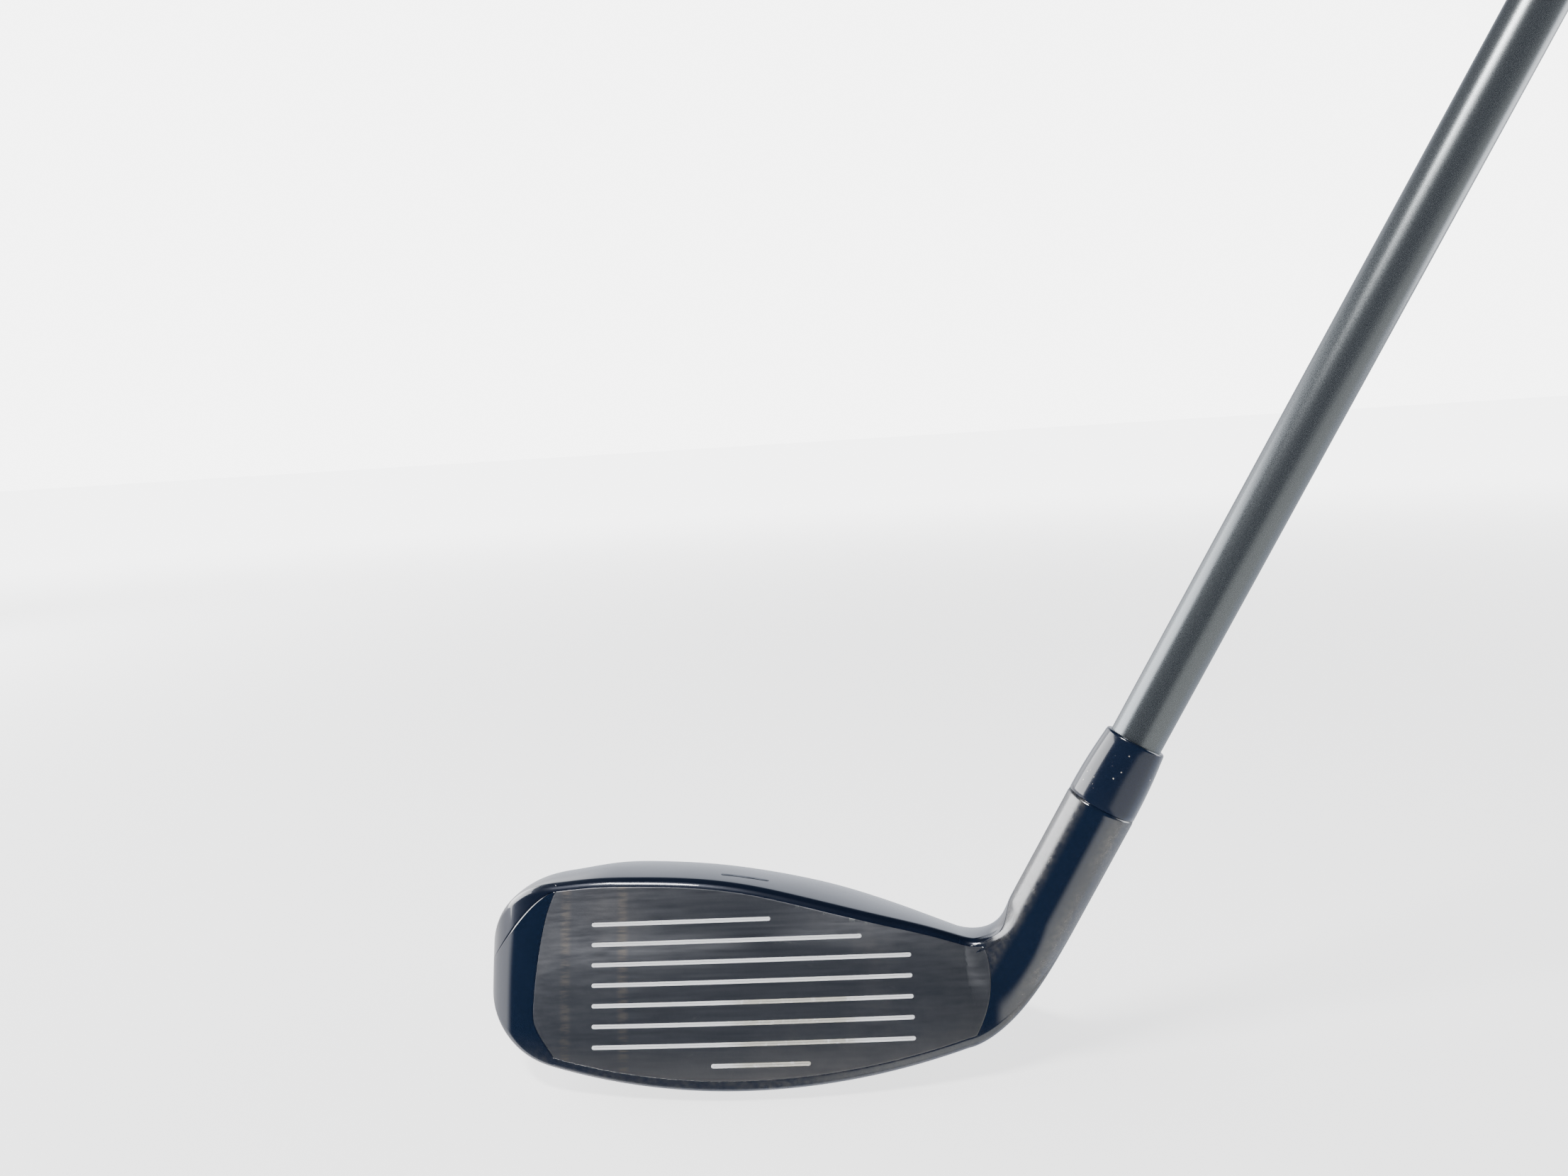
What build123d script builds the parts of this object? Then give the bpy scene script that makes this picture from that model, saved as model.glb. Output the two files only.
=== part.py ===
from build123d import *
import os
from math import atan2, cos, degrees, pi, radians, sin

import numpy as np

# Hybrid golf club, right-handed, in its address position. Millimetres.
# +X runs from toe to heel, +Y from the face to the back of the head, +Z up.
# The origin is the point under the score lines where the sole rests on the ground.

# ---- driving dimensions: the club as a whole ----
LOFT = radians(21.0)
LIE = radians(60.4)
AXIS_X = 37.18         # where the shaft axis meets the ground
AXIS_Y = -5.0
CLUB_LENGTH = 1014.0   # ground to butt, along the shaft axis

# ---- driving dimensions: the face ----
FACE_CENTRE_Y = -11.0
FACE_CENTRE_Z = 20.26
FACE_RADIUS = 254.0    # bulge and roll, 10 in
FACE_THICK = 2.4
LINE_PITCH = 3.6
LINE_WIDTH = 0.8
LINE_DEPTH = 0.35
LINE_TOE_X = -29.4
LINE_HEEL_X = (4.1, 20.6, 29.4, 29.4, 29.4, 29.4, 29.4)
SHORT_LINE_X = (-7.4, 10.5)

# ---- driving dimensions: the head ----
TOE_X = -51.6
TOE_ROUND_X = -37.0    # the toe starts to round over here
TOE_POWER = 2.45
TOE_POLE = (6.0, 17.76)
SOLE_DROP = 19.3       # leading edge below the face centre, along the face
CROWN_RADIUS = 46.0
CROWN_FADE = 90.0
TOP_EDGE_RADIUS = 2.0
LEAD_EDGE_RADIUS = 3.0
REAR_ROUND = 16.0
WALL = 1.6
TOE_CAP = 0.25         # solid end of the toe
TOE_CLOSING = 4.0      # the hollow closes over this length
FACE_CLEARANCE = 0.4   # between the face cup and the pieces inside the head
HEEL_X = 38.8          # the body ends and the turn into the hosel starts
HEEL_TURN_RADIUS = 10.7
HOSEL_RADIUS = 6.3
HOSEL_TOP = 56.04      # along the shaft axis, from the ground
BORE_BOTTOM = 25.0
BORE_RADIUS = 4.85

# (x, distance up the face) of the top line, from toe to heel
TOP_LINE = [(-53, 17.0), (-45, 18.0), (-37, 18.5), (-30, 18.9), (-22, 18.8), (-9, 18.0),
            (0, 16.6), (9, 14.4), (24, 10.4), (34, 7.8), (40, 5.9), (46, 4.0)]
# (x, slope) of the crown where it leaves the top line
CROWN_SLOPE = [(-53, -0.03), (-36, -0.02), (-27, 0.01), (-19, 0.01), (0, 0.0), (12.6, 0.015),
               (20, 0.005), (28, -0.035), (36, -0.09), (44, -0.12)]
# (x, front-to-back depth) of the head
DEPTH = [(-53, 50), (-45, 55), (-35, 59.5), (-20, 62), (-5, 62), (10, 58.5), (20, 52), (30, 42),
         (38, 32), (44, 26)]
CUP_TOE_X = -39.0      # toe end of the face cup
SEAM_DROP = 0.42       # how far down the front the crown's seam drops at the toe, of the face height

# ---- driving dimensions: ferrule, shaft and grip (distances along the shaft axis) ----
FERRULE_LENGTH = 13.0
FERRULE_RADII = (6.25, 5.5)
TIP_RADIUS = 4.7       # 0.370 in tip
BUTT_RADIUS = 7.62     # 0.600 in butt
TIP_BORE_RADIUS = 2.95
BUTT_BORE_RADIUS = 6.5
SHAFT_START = 26.0
TAPER_START = 216.0
TAPER_END = 850.0
SHAFT_END = 1010.0
TIP_PLUG_LENGTH = 22.0
GRIP_LENGTH = 267.0
GRIP_MOUTH_RADIUS = 9.4
GRIP_BUTT_RADIUS = 13.0
CAP_RADIUS = 13.4
CAP_BAND = 7.0
TAPE_THICK = 0.25
VENT_RADIUS = 1.25
DECAL_THICK = 0.12
DECAL_SPAN = (620.0, 700.0)

# ---- driving dimensions: swing-weight screw in the sole ----
SCREW_X = -4.0
SCREW_Y = 31.0
SCREW_HEAD_RADIUS = 6.5
SCREW_HEAD_HEIGHT = 3.4
SCREW_THREAD_RADIUS = 3.0
SCREW_THREAD_LENGTH = 7.0
SCREW_FIT = 0.05
POCKET_RADIUS = 6.9
POCKET_DEPTH = 4.4
WASHER_RADII = (3.1, 6.0)
WASHER_THICK = 0.8
INSERT_RADIUS = 5.0
INSERT_LENGTH = 7.0
BOSS_RADIUS = 8.6
DRIVE_RADIUS = 1.9
DRIVE_DEPTH = 2.2

# ---- driving dimensions: pieces inside the head (x range, y range, top) ----
TOE_WEIGHT = ((-38, -26), (-8, 18), 9.5)
HEEL_WEIGHT = ((21, 33), (-12, 14), 9.0)
HOT_MELT = ((-38, -24), (20, 42), 9.0)
RIB_X = (-21.0, 13.0)
RIB_Y = (10.0, 46.0)
RIB_THICK = 1.0
RIB_TOP = 9.0
POST_X = (-13.0, 13.0)
POST_Y = -1.0
POST_RADIUS = 1.8

# ---- driving dimensions: alignment mark inlaid in the crown ----
MARK_CENTRE = (-1.0, 1.5)
MARK_SIZE = (9.0, 1.0)
MARK_THICK = 0.15

# ---- points in one head section, and along one cut piece of it ----
FACE_POINTS = 40
CROWN_POINTS = 90
SOLE_POINTS = 90
EDGE_POINTS = 6
SEAM_UNDER = 16        # the crown's seam lies this many points below the back of the head
PIECE_POINTS = 15
HEEL_RING_POINTS = 16
# steps from the toe's end to the sections near it, and the first of them with a hollow
TOE_STEPS = (0.25, 0.7, 1.3, 2.2, 3.3, 4.6, 6.0, 8.0, 10.2)
HOLLOW_START = 6
MAIN_STEPS = 20

FACE_UP = np.array([0.0, sin(LOFT), cos(LOFT)])
FACE_OUT = np.array([0.0, -cos(LOFT), sin(LOFT)])
FACE_CENTRE = np.array([0.0, FACE_CENTRE_Y, FACE_CENTRE_Z])
FACE_SPHERE_CENTRE = FACE_CENTRE - FACE_RADIUS * FACE_OUT
AXIS = np.array([cos(LIE), 0.0, sin(LIE)])
AXIS_FOOT = np.array([AXIS_X, AXIS_Y, 0.0])
FACE_PLANE = Plane(origin=tuple(FACE_CENTRE), x_dir=(1, 0, 0), z_dir=tuple(FACE_OUT))


def smooth_curve(points):
    """Natural cubic spline through (x, value) points."""
    x = np.array([p[0] for p in points], float)
    v = np.array([p[1] for p in points], float)
    h = np.diff(x)
    count = len(x)
    matrix = np.eye(count)
    right = np.zeros(count)
    for i in range(1, count - 1):
        matrix[i, i - 1:i + 2] = h[i - 1], 2 * (h[i - 1] + h[i]), h[i]
        right[i] = 6 * ((v[i + 1] - v[i]) / h[i] - (v[i] - v[i - 1]) / h[i - 1])
    bend = np.linalg.solve(matrix, right)

    def value(at):
        i = int(np.clip(np.searchsorted(x, at) - 1, 0, count - 2))
        a = x[i + 1] - at
        b = at - x[i]
        cubic = (bend[i] * a ** 3 + bend[i + 1] * b ** 3) / (6 * h[i])
        return cubic + (v[i] / h[i] - bend[i] * h[i] / 6) * a + (v[i + 1] / h[i] - bend[i + 1] * h[i] / 6) * b

    return value


top_line = smooth_curve(TOP_LINE)
crown_slope = smooth_curve(CROWN_SLOPE)
head_depth = smooth_curve(DEPTH)


def face_point(x, up):
    """(y, z) on the bulged and rolled face, at x and a distance up the face."""
    sag = -(x * x + up * up) / (2 * FACE_RADIUS)
    point = FACE_CENTRE + up * FACE_UP + sag * FACE_OUT
    return point[1:]


def lead_edge(x):
    """Distance up the face of the leading edge."""
    camber = 262.0 if x < -2 else 285.0
    return -SOLE_DROP + (x + 2) ** 2 / camber


def sole_height(x, y):
    camber = x * x / 320.0
    rocker = 150.0 if y < 0 else 380.0
    return camber + y * y / rocker


def crown_height(x, y, edge):
    run = y - edge[0]
    fade = 1 + max(run, 0) / CROWN_FADE
    return edge[1] + crown_slope(x) * run - run * run / (2 * CROWN_RADIUS) / fade


def rounded_edge(start, end, corner):
    """Points on a rounded corner between two points."""
    pull = 0.58
    a = start + (corner - start) * pull
    b = end + (corner - end) * pull
    points = []
    for k in range(1, EDGE_POINTS + 1):
        t = k / (EDGE_POINTS + 1)
        points.append((1 - t) ** 3 * start + 3 * (1 - t) ** 2 * t * a + 3 * (1 - t) * t * t * b + t ** 3 * end)
    return points


def body_section(x):
    """Closed (y, z) loop of the head at x: up the face, over the crown, back under the sole."""
    top = top_line(x)
    lead = lead_edge(x)
    top_corner = face_point(x, top)
    lead_corner = face_point(x, lead)
    top_inset = 0.69 * TOP_EDGE_RADIUS
    lead_inset = 0.75 * LEAD_EDGE_RADIUS
    rear = face_point(x, 0)[0] + head_depth(x)
    drop = lead_corner[1] - sole_height(x, lead_corner[0])

    def closed(y, side):
        crown = crown_height(x, y, top_corner)
        sole = sole_height(x, y) + drop
        closing = min(max((y - rear + REAR_ROUND) / REAR_ROUND, 0), 1)
        half = (crown - sole) / 2 * (1 - closing ** 2.6) ** (1 / 2.2)
        return np.array([y, (crown + sole) / 2 + side * half])

    face = [face_point(x, u) for u in np.linspace(lead + lead_inset, top - top_inset, FACE_POINTS)]
    start = top_corner[0] + top_inset
    crown = [closed(start + (rear - start) * sin(t), 1) for t in np.linspace(0, pi / 2, CROWN_POINTS)]
    end = lead_corner[0] + lead_inset
    turns = np.linspace(0, pi / 2, SOLE_POINTS + 1)[1:]
    sole = [closed(rear + (end - rear) * (1 - cos(t)), -1) for t in turns]
    top_edge = rounded_edge(face[-1], crown[0], top_corner)
    bottom_edge = rounded_edge(sole[-1], face[0], lead_corner)
    return np.array(face + top_edge + crown + sole + bottom_edge)


def toe_section(x):
    """Head section at x, drawn in towards the toe's end."""
    loop = body_section(x)
    if x >= TOE_ROUND_X:
        return loop
    part = (TOE_ROUND_X - x) / (TOE_ROUND_X - TOE_X)
    shrink = (1 - part ** TOE_POWER) ** (1 / TOE_POWER)
    return np.array(TOE_POLE) + (loop - np.array(TOE_POLE)) * shrink


def heel_centre():
    """(x, z) of the line that the sections turn about, from the body up to the hosel."""
    across = HOSEL_RADIUS + HEEL_TURN_RADIUS + (HEEL_X - AXIS_X) * sin(LIE)
    return np.array([HEEL_X, across / cos(LIE)])


HEEL_CENTRE = heel_centre()


def hosel_loop():
    """The hosel's circle as (y, distance from the heel centre), in step with the body's points."""
    spans = [np.linspace(150, 50, FACE_POINTS),
             np.linspace(50, 36, EDGE_POINTS + 2)[1:-1],
             np.linspace(36, -90, CROWN_POINTS),
             np.linspace(-90, -198, SOLE_POINTS + 1)[1:],
             np.linspace(-198, -210, EDGE_POINTS + 2)[1:-1]]
    angle = np.radians(np.concatenate(spans))
    y = AXIS_Y - HOSEL_RADIUS * np.sin(angle)
    out = HEEL_TURN_RADIUS + HOSEL_RADIUS - HOSEL_RADIUS * np.cos(angle)
    return np.column_stack([y, out])


def turned(loop, angle):
    """A (y, distance) loop placed in the plane that has turned by angle about the heel centre."""
    x = HEEL_CENTRE[0] + loop[:, 1] * sin(angle)
    z = HEEL_CENTRE[1] - loop[:, 1] * cos(angle)
    return np.column_stack([x, loop[:, 0], z])


def heel_section(part):
    """3-D section at part 0 (body) to 1 (hosel) of the heel's turn."""
    body = body_section(HEEL_X)
    rate = (body - body_section(HEEL_X - 0.5)) / 0.5
    loop = np.column_stack([body[:, 0], HEEL_CENTRE[1] - body[:, 1]])
    drift = np.column_stack([rate[:, 0], -rate[:, 1]])
    eased = part ** 0.8
    blend = eased * eased * (3 - 2 * eased)
    angle = part * LIE
    return turned((1 - blend) * (loop + 12.0 * angle * drift) + blend * hosel_loop(), angle)


def at_x(loop, x):
    return np.column_stack([np.full(len(loop), x), loop])


def spaced(points, count):
    """Evenly spaced points along a polyline."""
    points = np.asarray(points)
    along = np.concatenate([[0], np.cumsum(np.linalg.norm(np.diff(points, axis=0), axis=1))])
    at = np.linspace(0, along[-1], count)
    return np.column_stack([np.interp(at, along, points[:, k]) for k in range(points.shape[1])])


def stretch(loop, first, last):
    """Part of a closed loop between two places, which are counted in points and may run past its end."""
    places = np.concatenate([[first], np.arange(np.floor(first) + 1, np.ceil(last)), [last]])
    before = np.floor(places).astype(int)
    part = (places - before)[:, None]
    return loop[before % len(loop)] * (1 - part) + loop[(before + 1) % len(loop)] * part


def seam_front(x):
    """Place of the crown's front seam in a section: the face's top edge, dropping at the toe."""
    part = min(max((TOE_ROUND_X - x) / (TOE_ROUND_X - TOE_X), 0), 1)
    return FACE_POINTS - 1 - SEAM_DROP * FACE_POINTS * part ** 1.5


NOSE = FACE_POINTS + EDGE_POINTS + CROWN_POINTS
SEAM_REAR = NOSE + SEAM_UNDER
LOOP_END = NOSE + SOLE_POINTS + EDGE_POINTS
TOE_STATIONS = [TOE_X + step for step in TOE_STEPS] + [CUP_TOE_X]
MAIN_STATIONS = [float(x) for x in np.linspace(CUP_TOE_X, HEEL_X, MAIN_STEPS + 1)]


def outer_edge(x, first, last):
    """Points on the head's outside at x, from one place in the section to another."""
    return at_x(spaced(stretch(toe_section(x), first, last), PIECE_POINTS), x)


def inner_edge(x, first, last, inset):
    """The same stretch on the inside of the wall, drawn together where the toe closes."""
    loop = toe_section(x)
    middle = (loop.max(axis=0) + loop.min(axis=0)) / 2
    span = loop.max(axis=0) - loop.min(axis=0)
    toe_end = min(max((x - TOE_X - TOE_CAP) / TOE_CLOSING, 0.04), 1.0)
    inside = middle + (stretch(loop, first, last) - middle) * (span - 2 * inset) / span * toe_end
    return at_x(spaced(inside, PIECE_POINTS), x)


def shell_wire(x, first, last, inset=WALL):
    """Crescent between the head's outside and its hollow at x, from one place to another."""
    outer = outer_edge(x, first, last)
    inner = inner_edge(x, first, last, inset)
    edges = [Edge.make_spline([tuple(p) for p in outer]),
             Edge.make_line(tuple(outer[-1]), tuple(inner[-1])),
             Edge.make_spline([tuple(p) for p in inner[::-1]]),
             Edge.make_line(tuple(inner[0]), tuple(outer[0]))]
    return Wire(edges)


def crown_shell():
    stations = TOE_STATIONS + MAIN_STATIONS[1:]
    return Solid.make_loft([shell_wire(x, seam_front(x), SEAM_REAR) for x in stations], ruled=True)


def sole_shell():
    """Skirt, sole and leading edge, behind the face cup."""
    return Solid.make_loft([shell_wire(x, SEAM_REAR, LOOP_END) for x in MAIN_STATIONS], ruled=True)


def toe_shell():
    """The toe's end below the crown seam: skirt, sole and front in one crescent."""
    wires = [shell_wire(x, SEAM_REAR, LOOP_END + seam_front(x)) for x in TOE_STATIONS]
    return Solid.make_loft(wires, ruled=True)


def cup_shell():
    """The face cup's plate, from the leading edge up to the crown seam."""
    return Solid.make_loft([shell_wire(x, 0, seam_front(x), FACE_THICK) for x in MAIN_STATIONS], ruled=True)


def head_inside():
    """The hollow of the head, clear of the face cup."""
    wires = []
    for x in TOE_STATIONS[HOLLOW_START:] + MAIN_STATIONS[1:-1]:
        front = seam_front(x)
        places = [(front, SEAM_REAR), (SEAM_REAR, LOOP_END), (LOOP_END, LOOP_END + front)]
        edges = [Edge.make_spline([tuple(p) for p in inner_edge(x, *place, WALL)]) for place in places]
        wires.append(Wire(edges))
    return Solid.make_loft(wires, ruled=True) & face_ball(FACE_THICK + FACE_CLEARANCE)


def ring(loop, count):
    """Evenly spaced points round a closed loop, starting at the back of the head."""
    return spaced(stretch(loop, NOSE, NOSE + len(loop)), count + 1)[:-1]


def halved_wire(points):
    """Closed wire of two splines that run smoothly into each other."""
    half = len(points) // 2

    def heading(k):
        chord = points[(k + 1) % len(points)] - points[k - 1]
        return tuple(chord / np.linalg.norm(chord))

    upper = [tuple(p) for p in points[:half + 1]]
    lower = [tuple(p) for p in np.vstack([points[half:], points[:1]])]
    return Wire([Edge.make_spline(upper, tangents=[heading(0), heading(half)]),
                 Edge.make_spline(lower, tangents=[heading(half), heading(0)])])


def hosel_wire():
    """The hosel's circle where the heel's turn ends, as two half circles from the back."""
    near, middle = HEEL_TURN_RADIUS, HEEL_TURN_RADIUS + HOSEL_RADIUS
    spots = [(AXIS_Y + HOSEL_RADIUS, middle), (AXIS_Y, middle + HOSEL_RADIUS), (AXIS_Y - HOSEL_RADIUS, middle),
             (AXIS_Y, near)]
    back, under, front, over = [tuple(p) for p in turned(np.array(spots), LIE)]
    return Wire([Edge.make_three_point_arc(back, under, front), Edge.make_three_point_arc(front, over, back)])


def heel_turn():
    """Solid heel that turns up from the body's last section to the hosel."""
    loops = [at_x(body_section(HEEL_X), HEEL_X)] + [heel_section(part) for part in (0.25, 0.5, 0.75)]
    return Solid.make_loft([halved_wire(ring(loop, HEEL_RING_POINTS)) for loop in loops] + [hosel_wire()])


def hosel_start():
    """Distance along the shaft axis where the heel's turn ends."""
    return float((heel_section(1.0).mean(axis=0) - AXIS_FOOT) @ AXIS)


def face_ball(depth):
    """The ball whose surface lies at a depth below the face."""
    return Pos(*FACE_SPHERE_CENTRE) * Sphere(FACE_RADIUS - depth)


def score_line_slots():
    """Straight-walled slots of the seven score lines and the short one under them."""
    rows = [(3 - k) * LINE_PITCH for k in range(7)]
    spans = [(LINE_TOE_X, heel, row) for heel, row in zip(LINE_HEEL_X, rows)]
    spans.append((SHORT_LINE_X[0], SHORT_LINE_X[1], -4 * LINE_PITCH))
    slots = []
    for toe, heel, row in spans:
        flat = FACE_PLANE * Pos((toe + heel) / 2, row) * SlotOverall(heel - toe, LINE_WIDTH)
        slots.append(extrude(flat, amount=5.0, both=True))
    return slots


def on_axis(distance):
    """Plane across the shaft axis at a distance from the ground."""
    origin = AXIS_FOOT + AXIS * distance
    return Plane(origin=tuple(origin), x_dir=(0, 1, 0), z_dir=tuple(AXIS))


def rod(start, end, radius):
    return extrude(on_axis(start) * Circle(radius), amount=end - start)


def turned_part(profile):
    """Solid of revolution about the shaft axis from (radius, distance) points."""
    plane = Plane(origin=tuple(AXIS_FOOT), x_dir=(0, 1, 0), z_dir=(sin(LIE), 0, -cos(LIE)))
    outline = plane * make_face(Polyline(*profile, close=True))
    return revolve(outline, axis=Axis(tuple(AXIS_FOOT), tuple(AXIS)), revolution_arc=360)


def shaft_radius(distance):
    part = min(max((distance - TAPER_START) / (TAPER_END - TAPER_START), 0), 1)
    return TIP_RADIUS + (BUTT_RADIUS - TIP_RADIUS) * part


def sleeve(start, end, thick):
    """Thin sleeve on the shaft between two distances."""
    stops = [start] + [stop for stop in (TAPER_START, TAPER_END) if start < stop < end] + [end]
    inner = [(shaft_radius(stop), stop) for stop in stops]
    outer = [(radius + thick, stop) for radius, stop in reversed(inner)]
    return turned_part(inner + outer)


def block(x_range, y_range, top):
    """Box from below the sole up to a height."""
    low = -5.0
    size = (x_range[1] - x_range[0], y_range[1] - y_range[0], top - low)
    middle = (sum(x_range) / 2, sum(y_range) / 2, (top + low) / 2)
    return Pos(*middle) * Box(*size)


def upright(radius, start, end):
    """Cylinder on the screw's axis between two heights."""
    return Pos(SCREW_X, SCREW_Y, start) * extrude(Circle(radius), amount=end - start)


def sole_at(x, y):
    """Height of the sole's outside."""
    lead_corner = face_point(x, lead_edge(x))
    return sole_height(x, y) + lead_corner[1] - sole_height(x, lead_corner[0])


SCREW_BASE = float(sole_at(SCREW_X, SCREW_Y))
POCKET_FLOOR = SCREW_BASE + POCKET_DEPTH


def score_line_paint(plate):
    """Paint that fills the score lines, one solid for each line."""
    return Compound([(plate & slot) - face_ball(LINE_DEPTH) for slot in score_line_slots()])


def weight_screw():
    """Swing-weight screw: a wide low head with a six-lobed drive, and a plain-modelled thread."""
    seat = POCKET_FLOOR - WASHER_THICK
    head = chamfer(upright(SCREW_HEAD_RADIUS, seat - SCREW_HEAD_HEIGHT, seat).edges().group_by(Axis.Z)[0], 0.6)
    thread = upright(SCREW_THREAD_RADIUS, seat, seat + SCREW_THREAD_LENGTH)
    bottom = seat - SCREW_HEAD_HEIGHT
    drive = upright(DRIVE_RADIUS, bottom, bottom + DRIVE_DEPTH)
    for k in range(6):
        lobe = Rot(0, 0, 60 * k) * Pos(DRIVE_RADIUS, 0, 0) * Cylinder(0.5, 2 * DRIVE_DEPTH)
        drive += Pos(SCREW_X, SCREW_Y, bottom) * lobe
    return head + thread - drive


def weight_washer():
    inner, outer = WASHER_RADII
    start = POCKET_FLOOR - WASHER_THICK
    return upright(outer, start, POCKET_FLOOR) - upright(inner, start, POCKET_FLOOR)


def weight_insert():
    """Threaded bush pressed into the boss."""
    top = POCKET_FLOOR + INSERT_LENGTH
    bush = upright(INSERT_RADIUS, POCKET_FLOOR, top)
    return bush - upright(SCREW_THREAD_RADIUS + SCREW_FIT, POCKET_FLOOR, top)


def ferrule():
    base, end = HOSEL_TOP, HOSEL_TOP + FERRULE_LENGTH
    wide, narrow = FERRULE_RADII
    profile = [(TIP_RADIUS, base), (wide, base), (wide, base + 1.2), (0.5 * (wide + narrow) + 0.1, base + 7.0),
               (narrow, end - 0.6), (narrow - 0.15, end - 0.15), (narrow - 0.4, end), (TIP_RADIUS, end)]
    return turned_part(profile)


def shaft():
    profile = [(TIP_BORE_RADIUS, SHAFT_START), (TIP_RADIUS, SHAFT_START), (TIP_RADIUS, TAPER_START),
               (BUTT_RADIUS, TAPER_END), (BUTT_RADIUS, SHAFT_END), (BUTT_BORE_RADIUS, SHAFT_END),
               (BUTT_BORE_RADIUS, TAPER_END), (TIP_BORE_RADIUS, TAPER_START)]
    return turned_part(profile)


def grip():
    """Rubber sleeve, thin at its mouth and thick at the butt."""
    mouth = CLUB_LENGTH - GRIP_LENGTH
    butt = CLUB_LENGTH - CAP_BAND
    profile = [(shaft_radius(mouth) + TAPE_THICK, mouth), (GRIP_MOUTH_RADIUS - 0.6, mouth),
               (GRIP_MOUTH_RADIUS, mouth + 1.0), (GRIP_BUTT_RADIUS, butt), (BUTT_RADIUS + TAPE_THICK, butt),
               (BUTT_RADIUS + TAPE_THICK, TAPER_END)]
    return turned_part(profile)


def grip_cap():
    """End cap with a socket for the shaft's end and a vent through its disc."""
    start = CLUB_LENGTH - CAP_BAND
    socket = BUTT_RADIUS + TAPE_THICK
    profile = [(socket, start), (CAP_RADIUS, start), (CAP_RADIUS, CLUB_LENGTH - 0.8),
               (CAP_RADIUS - 0.8, CLUB_LENGTH), (VENT_RADIUS, CLUB_LENGTH), (VENT_RADIUS, SHAFT_END),
               (socket, SHAFT_END)]
    return turned_part(profile)


def write(name, shape):
    export_step(shape, f"parts/{name}.step")


def weight_boss():
    """Boss on the sole's inside, its foot cut off within the sole's wall."""
    boss = upright(BOSS_RADIUS, SCREW_BASE - 3, POCKET_FLOOR + INSERT_LENGTH + 1.5)
    slope = degrees(atan2(sole_at(SCREW_X, SCREW_Y + 1) - SCREW_BASE, 1))
    below = Pos(SCREW_X, SCREW_Y, SCREW_BASE + WALL / 2) * Rot(slope, 0, 0) * Pos(0, 0, -10) * Box(40, 40, 20)
    return boss - below


def head_body():
    """Casting: toe, sole and skirt, the solid heel, the hosel and the boss for the weight screw."""
    start = hosel_start()
    bore = rod(BORE_BOTTOM, HOSEL_TOP, BORE_RADIUS)
    heel = heel_turn() - bore
    hosel = rod(start, HOSEL_TOP, HOSEL_RADIUS) - bore
    pocket = upright(POCKET_RADIUS, -5, POCKET_FLOOR)
    seat = upright(INSERT_RADIUS, POCKET_FLOOR - 1, POCKET_FLOOR + INSERT_LENGTH)
    return sole_shell() + heel + toe_shell() + hosel + weight_boss() - pocket - seat


def posts(hollow):
    """Two stiffening posts from sole to crown, close behind the face."""
    return [hollow & (Pos(x, POST_Y, 20) * Cylinder(POST_RADIUS, 60)) for x in POST_X]


def sole_ribs(hollow):
    ribs = [hollow & block((x - RIB_THICK / 2, x + RIB_THICK / 2), RIB_Y, RIB_TOP) for x in RIB_X]
    return Compound([solid for rib in ribs for solid in rib.solids()])


def build():
    hollow = head_inside()
    cup = cup_shell()
    paint = score_line_paint(cup)
    crown = crown_shell()
    mark_place = Pos(*MARK_CENTRE, 40) * extrude(SlotOverall(*MARK_SIZE), amount=20, both=True)
    mark = (crown & mark_place) - Pos(0, 0, -MARK_THICK) * crown
    toe_post, heel_post = posts(hollow)

    write("head_body", head_body())
    write("face_cup", cup - paint)
    write("score_line_paint", paint)
    write("crown", crown - mark)
    write("alignment_mark", mark)
    write("toe_weight", hollow & block(*TOE_WEIGHT))
    write("heel_weight", hollow & block(*HEEL_WEIGHT))
    write("toe_post", toe_post)
    write("heel_post", heel_post)
    write("sole_ribs", sole_ribs(hollow))
    write("hot_melt", hollow & block(*HOT_MELT))
    write("weight_insert", weight_insert())
    write("weight_washer", weight_washer())
    write("weight_screw", weight_screw())
    write("hosel_epoxy", rod(SHAFT_START, HOSEL_TOP, BORE_RADIUS) - rod(SHAFT_START, HOSEL_TOP, TIP_RADIUS))
    write("ferrule", ferrule())
    write("shaft", shaft())
    write("tip_plug", rod(SHAFT_START, SHAFT_START + TIP_PLUG_LENGTH, TIP_BORE_RADIUS))
    write("shaft_decal", sleeve(*DECAL_SPAN, DECAL_THICK))
    write("grip_tape", sleeve(CLUB_LENGTH - GRIP_LENGTH, SHAFT_END, TAPE_THICK))
    write("grip", grip())
    write("grip_cap", grip_cap())


if __name__ == "__main__":
    os.makedirs("parts", exist_ok=True)
    build()
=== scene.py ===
from math import cos, pi, radians, sin

import bmesh
import bpy
import numpy as np
from mathutils import Matrix, Vector


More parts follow.
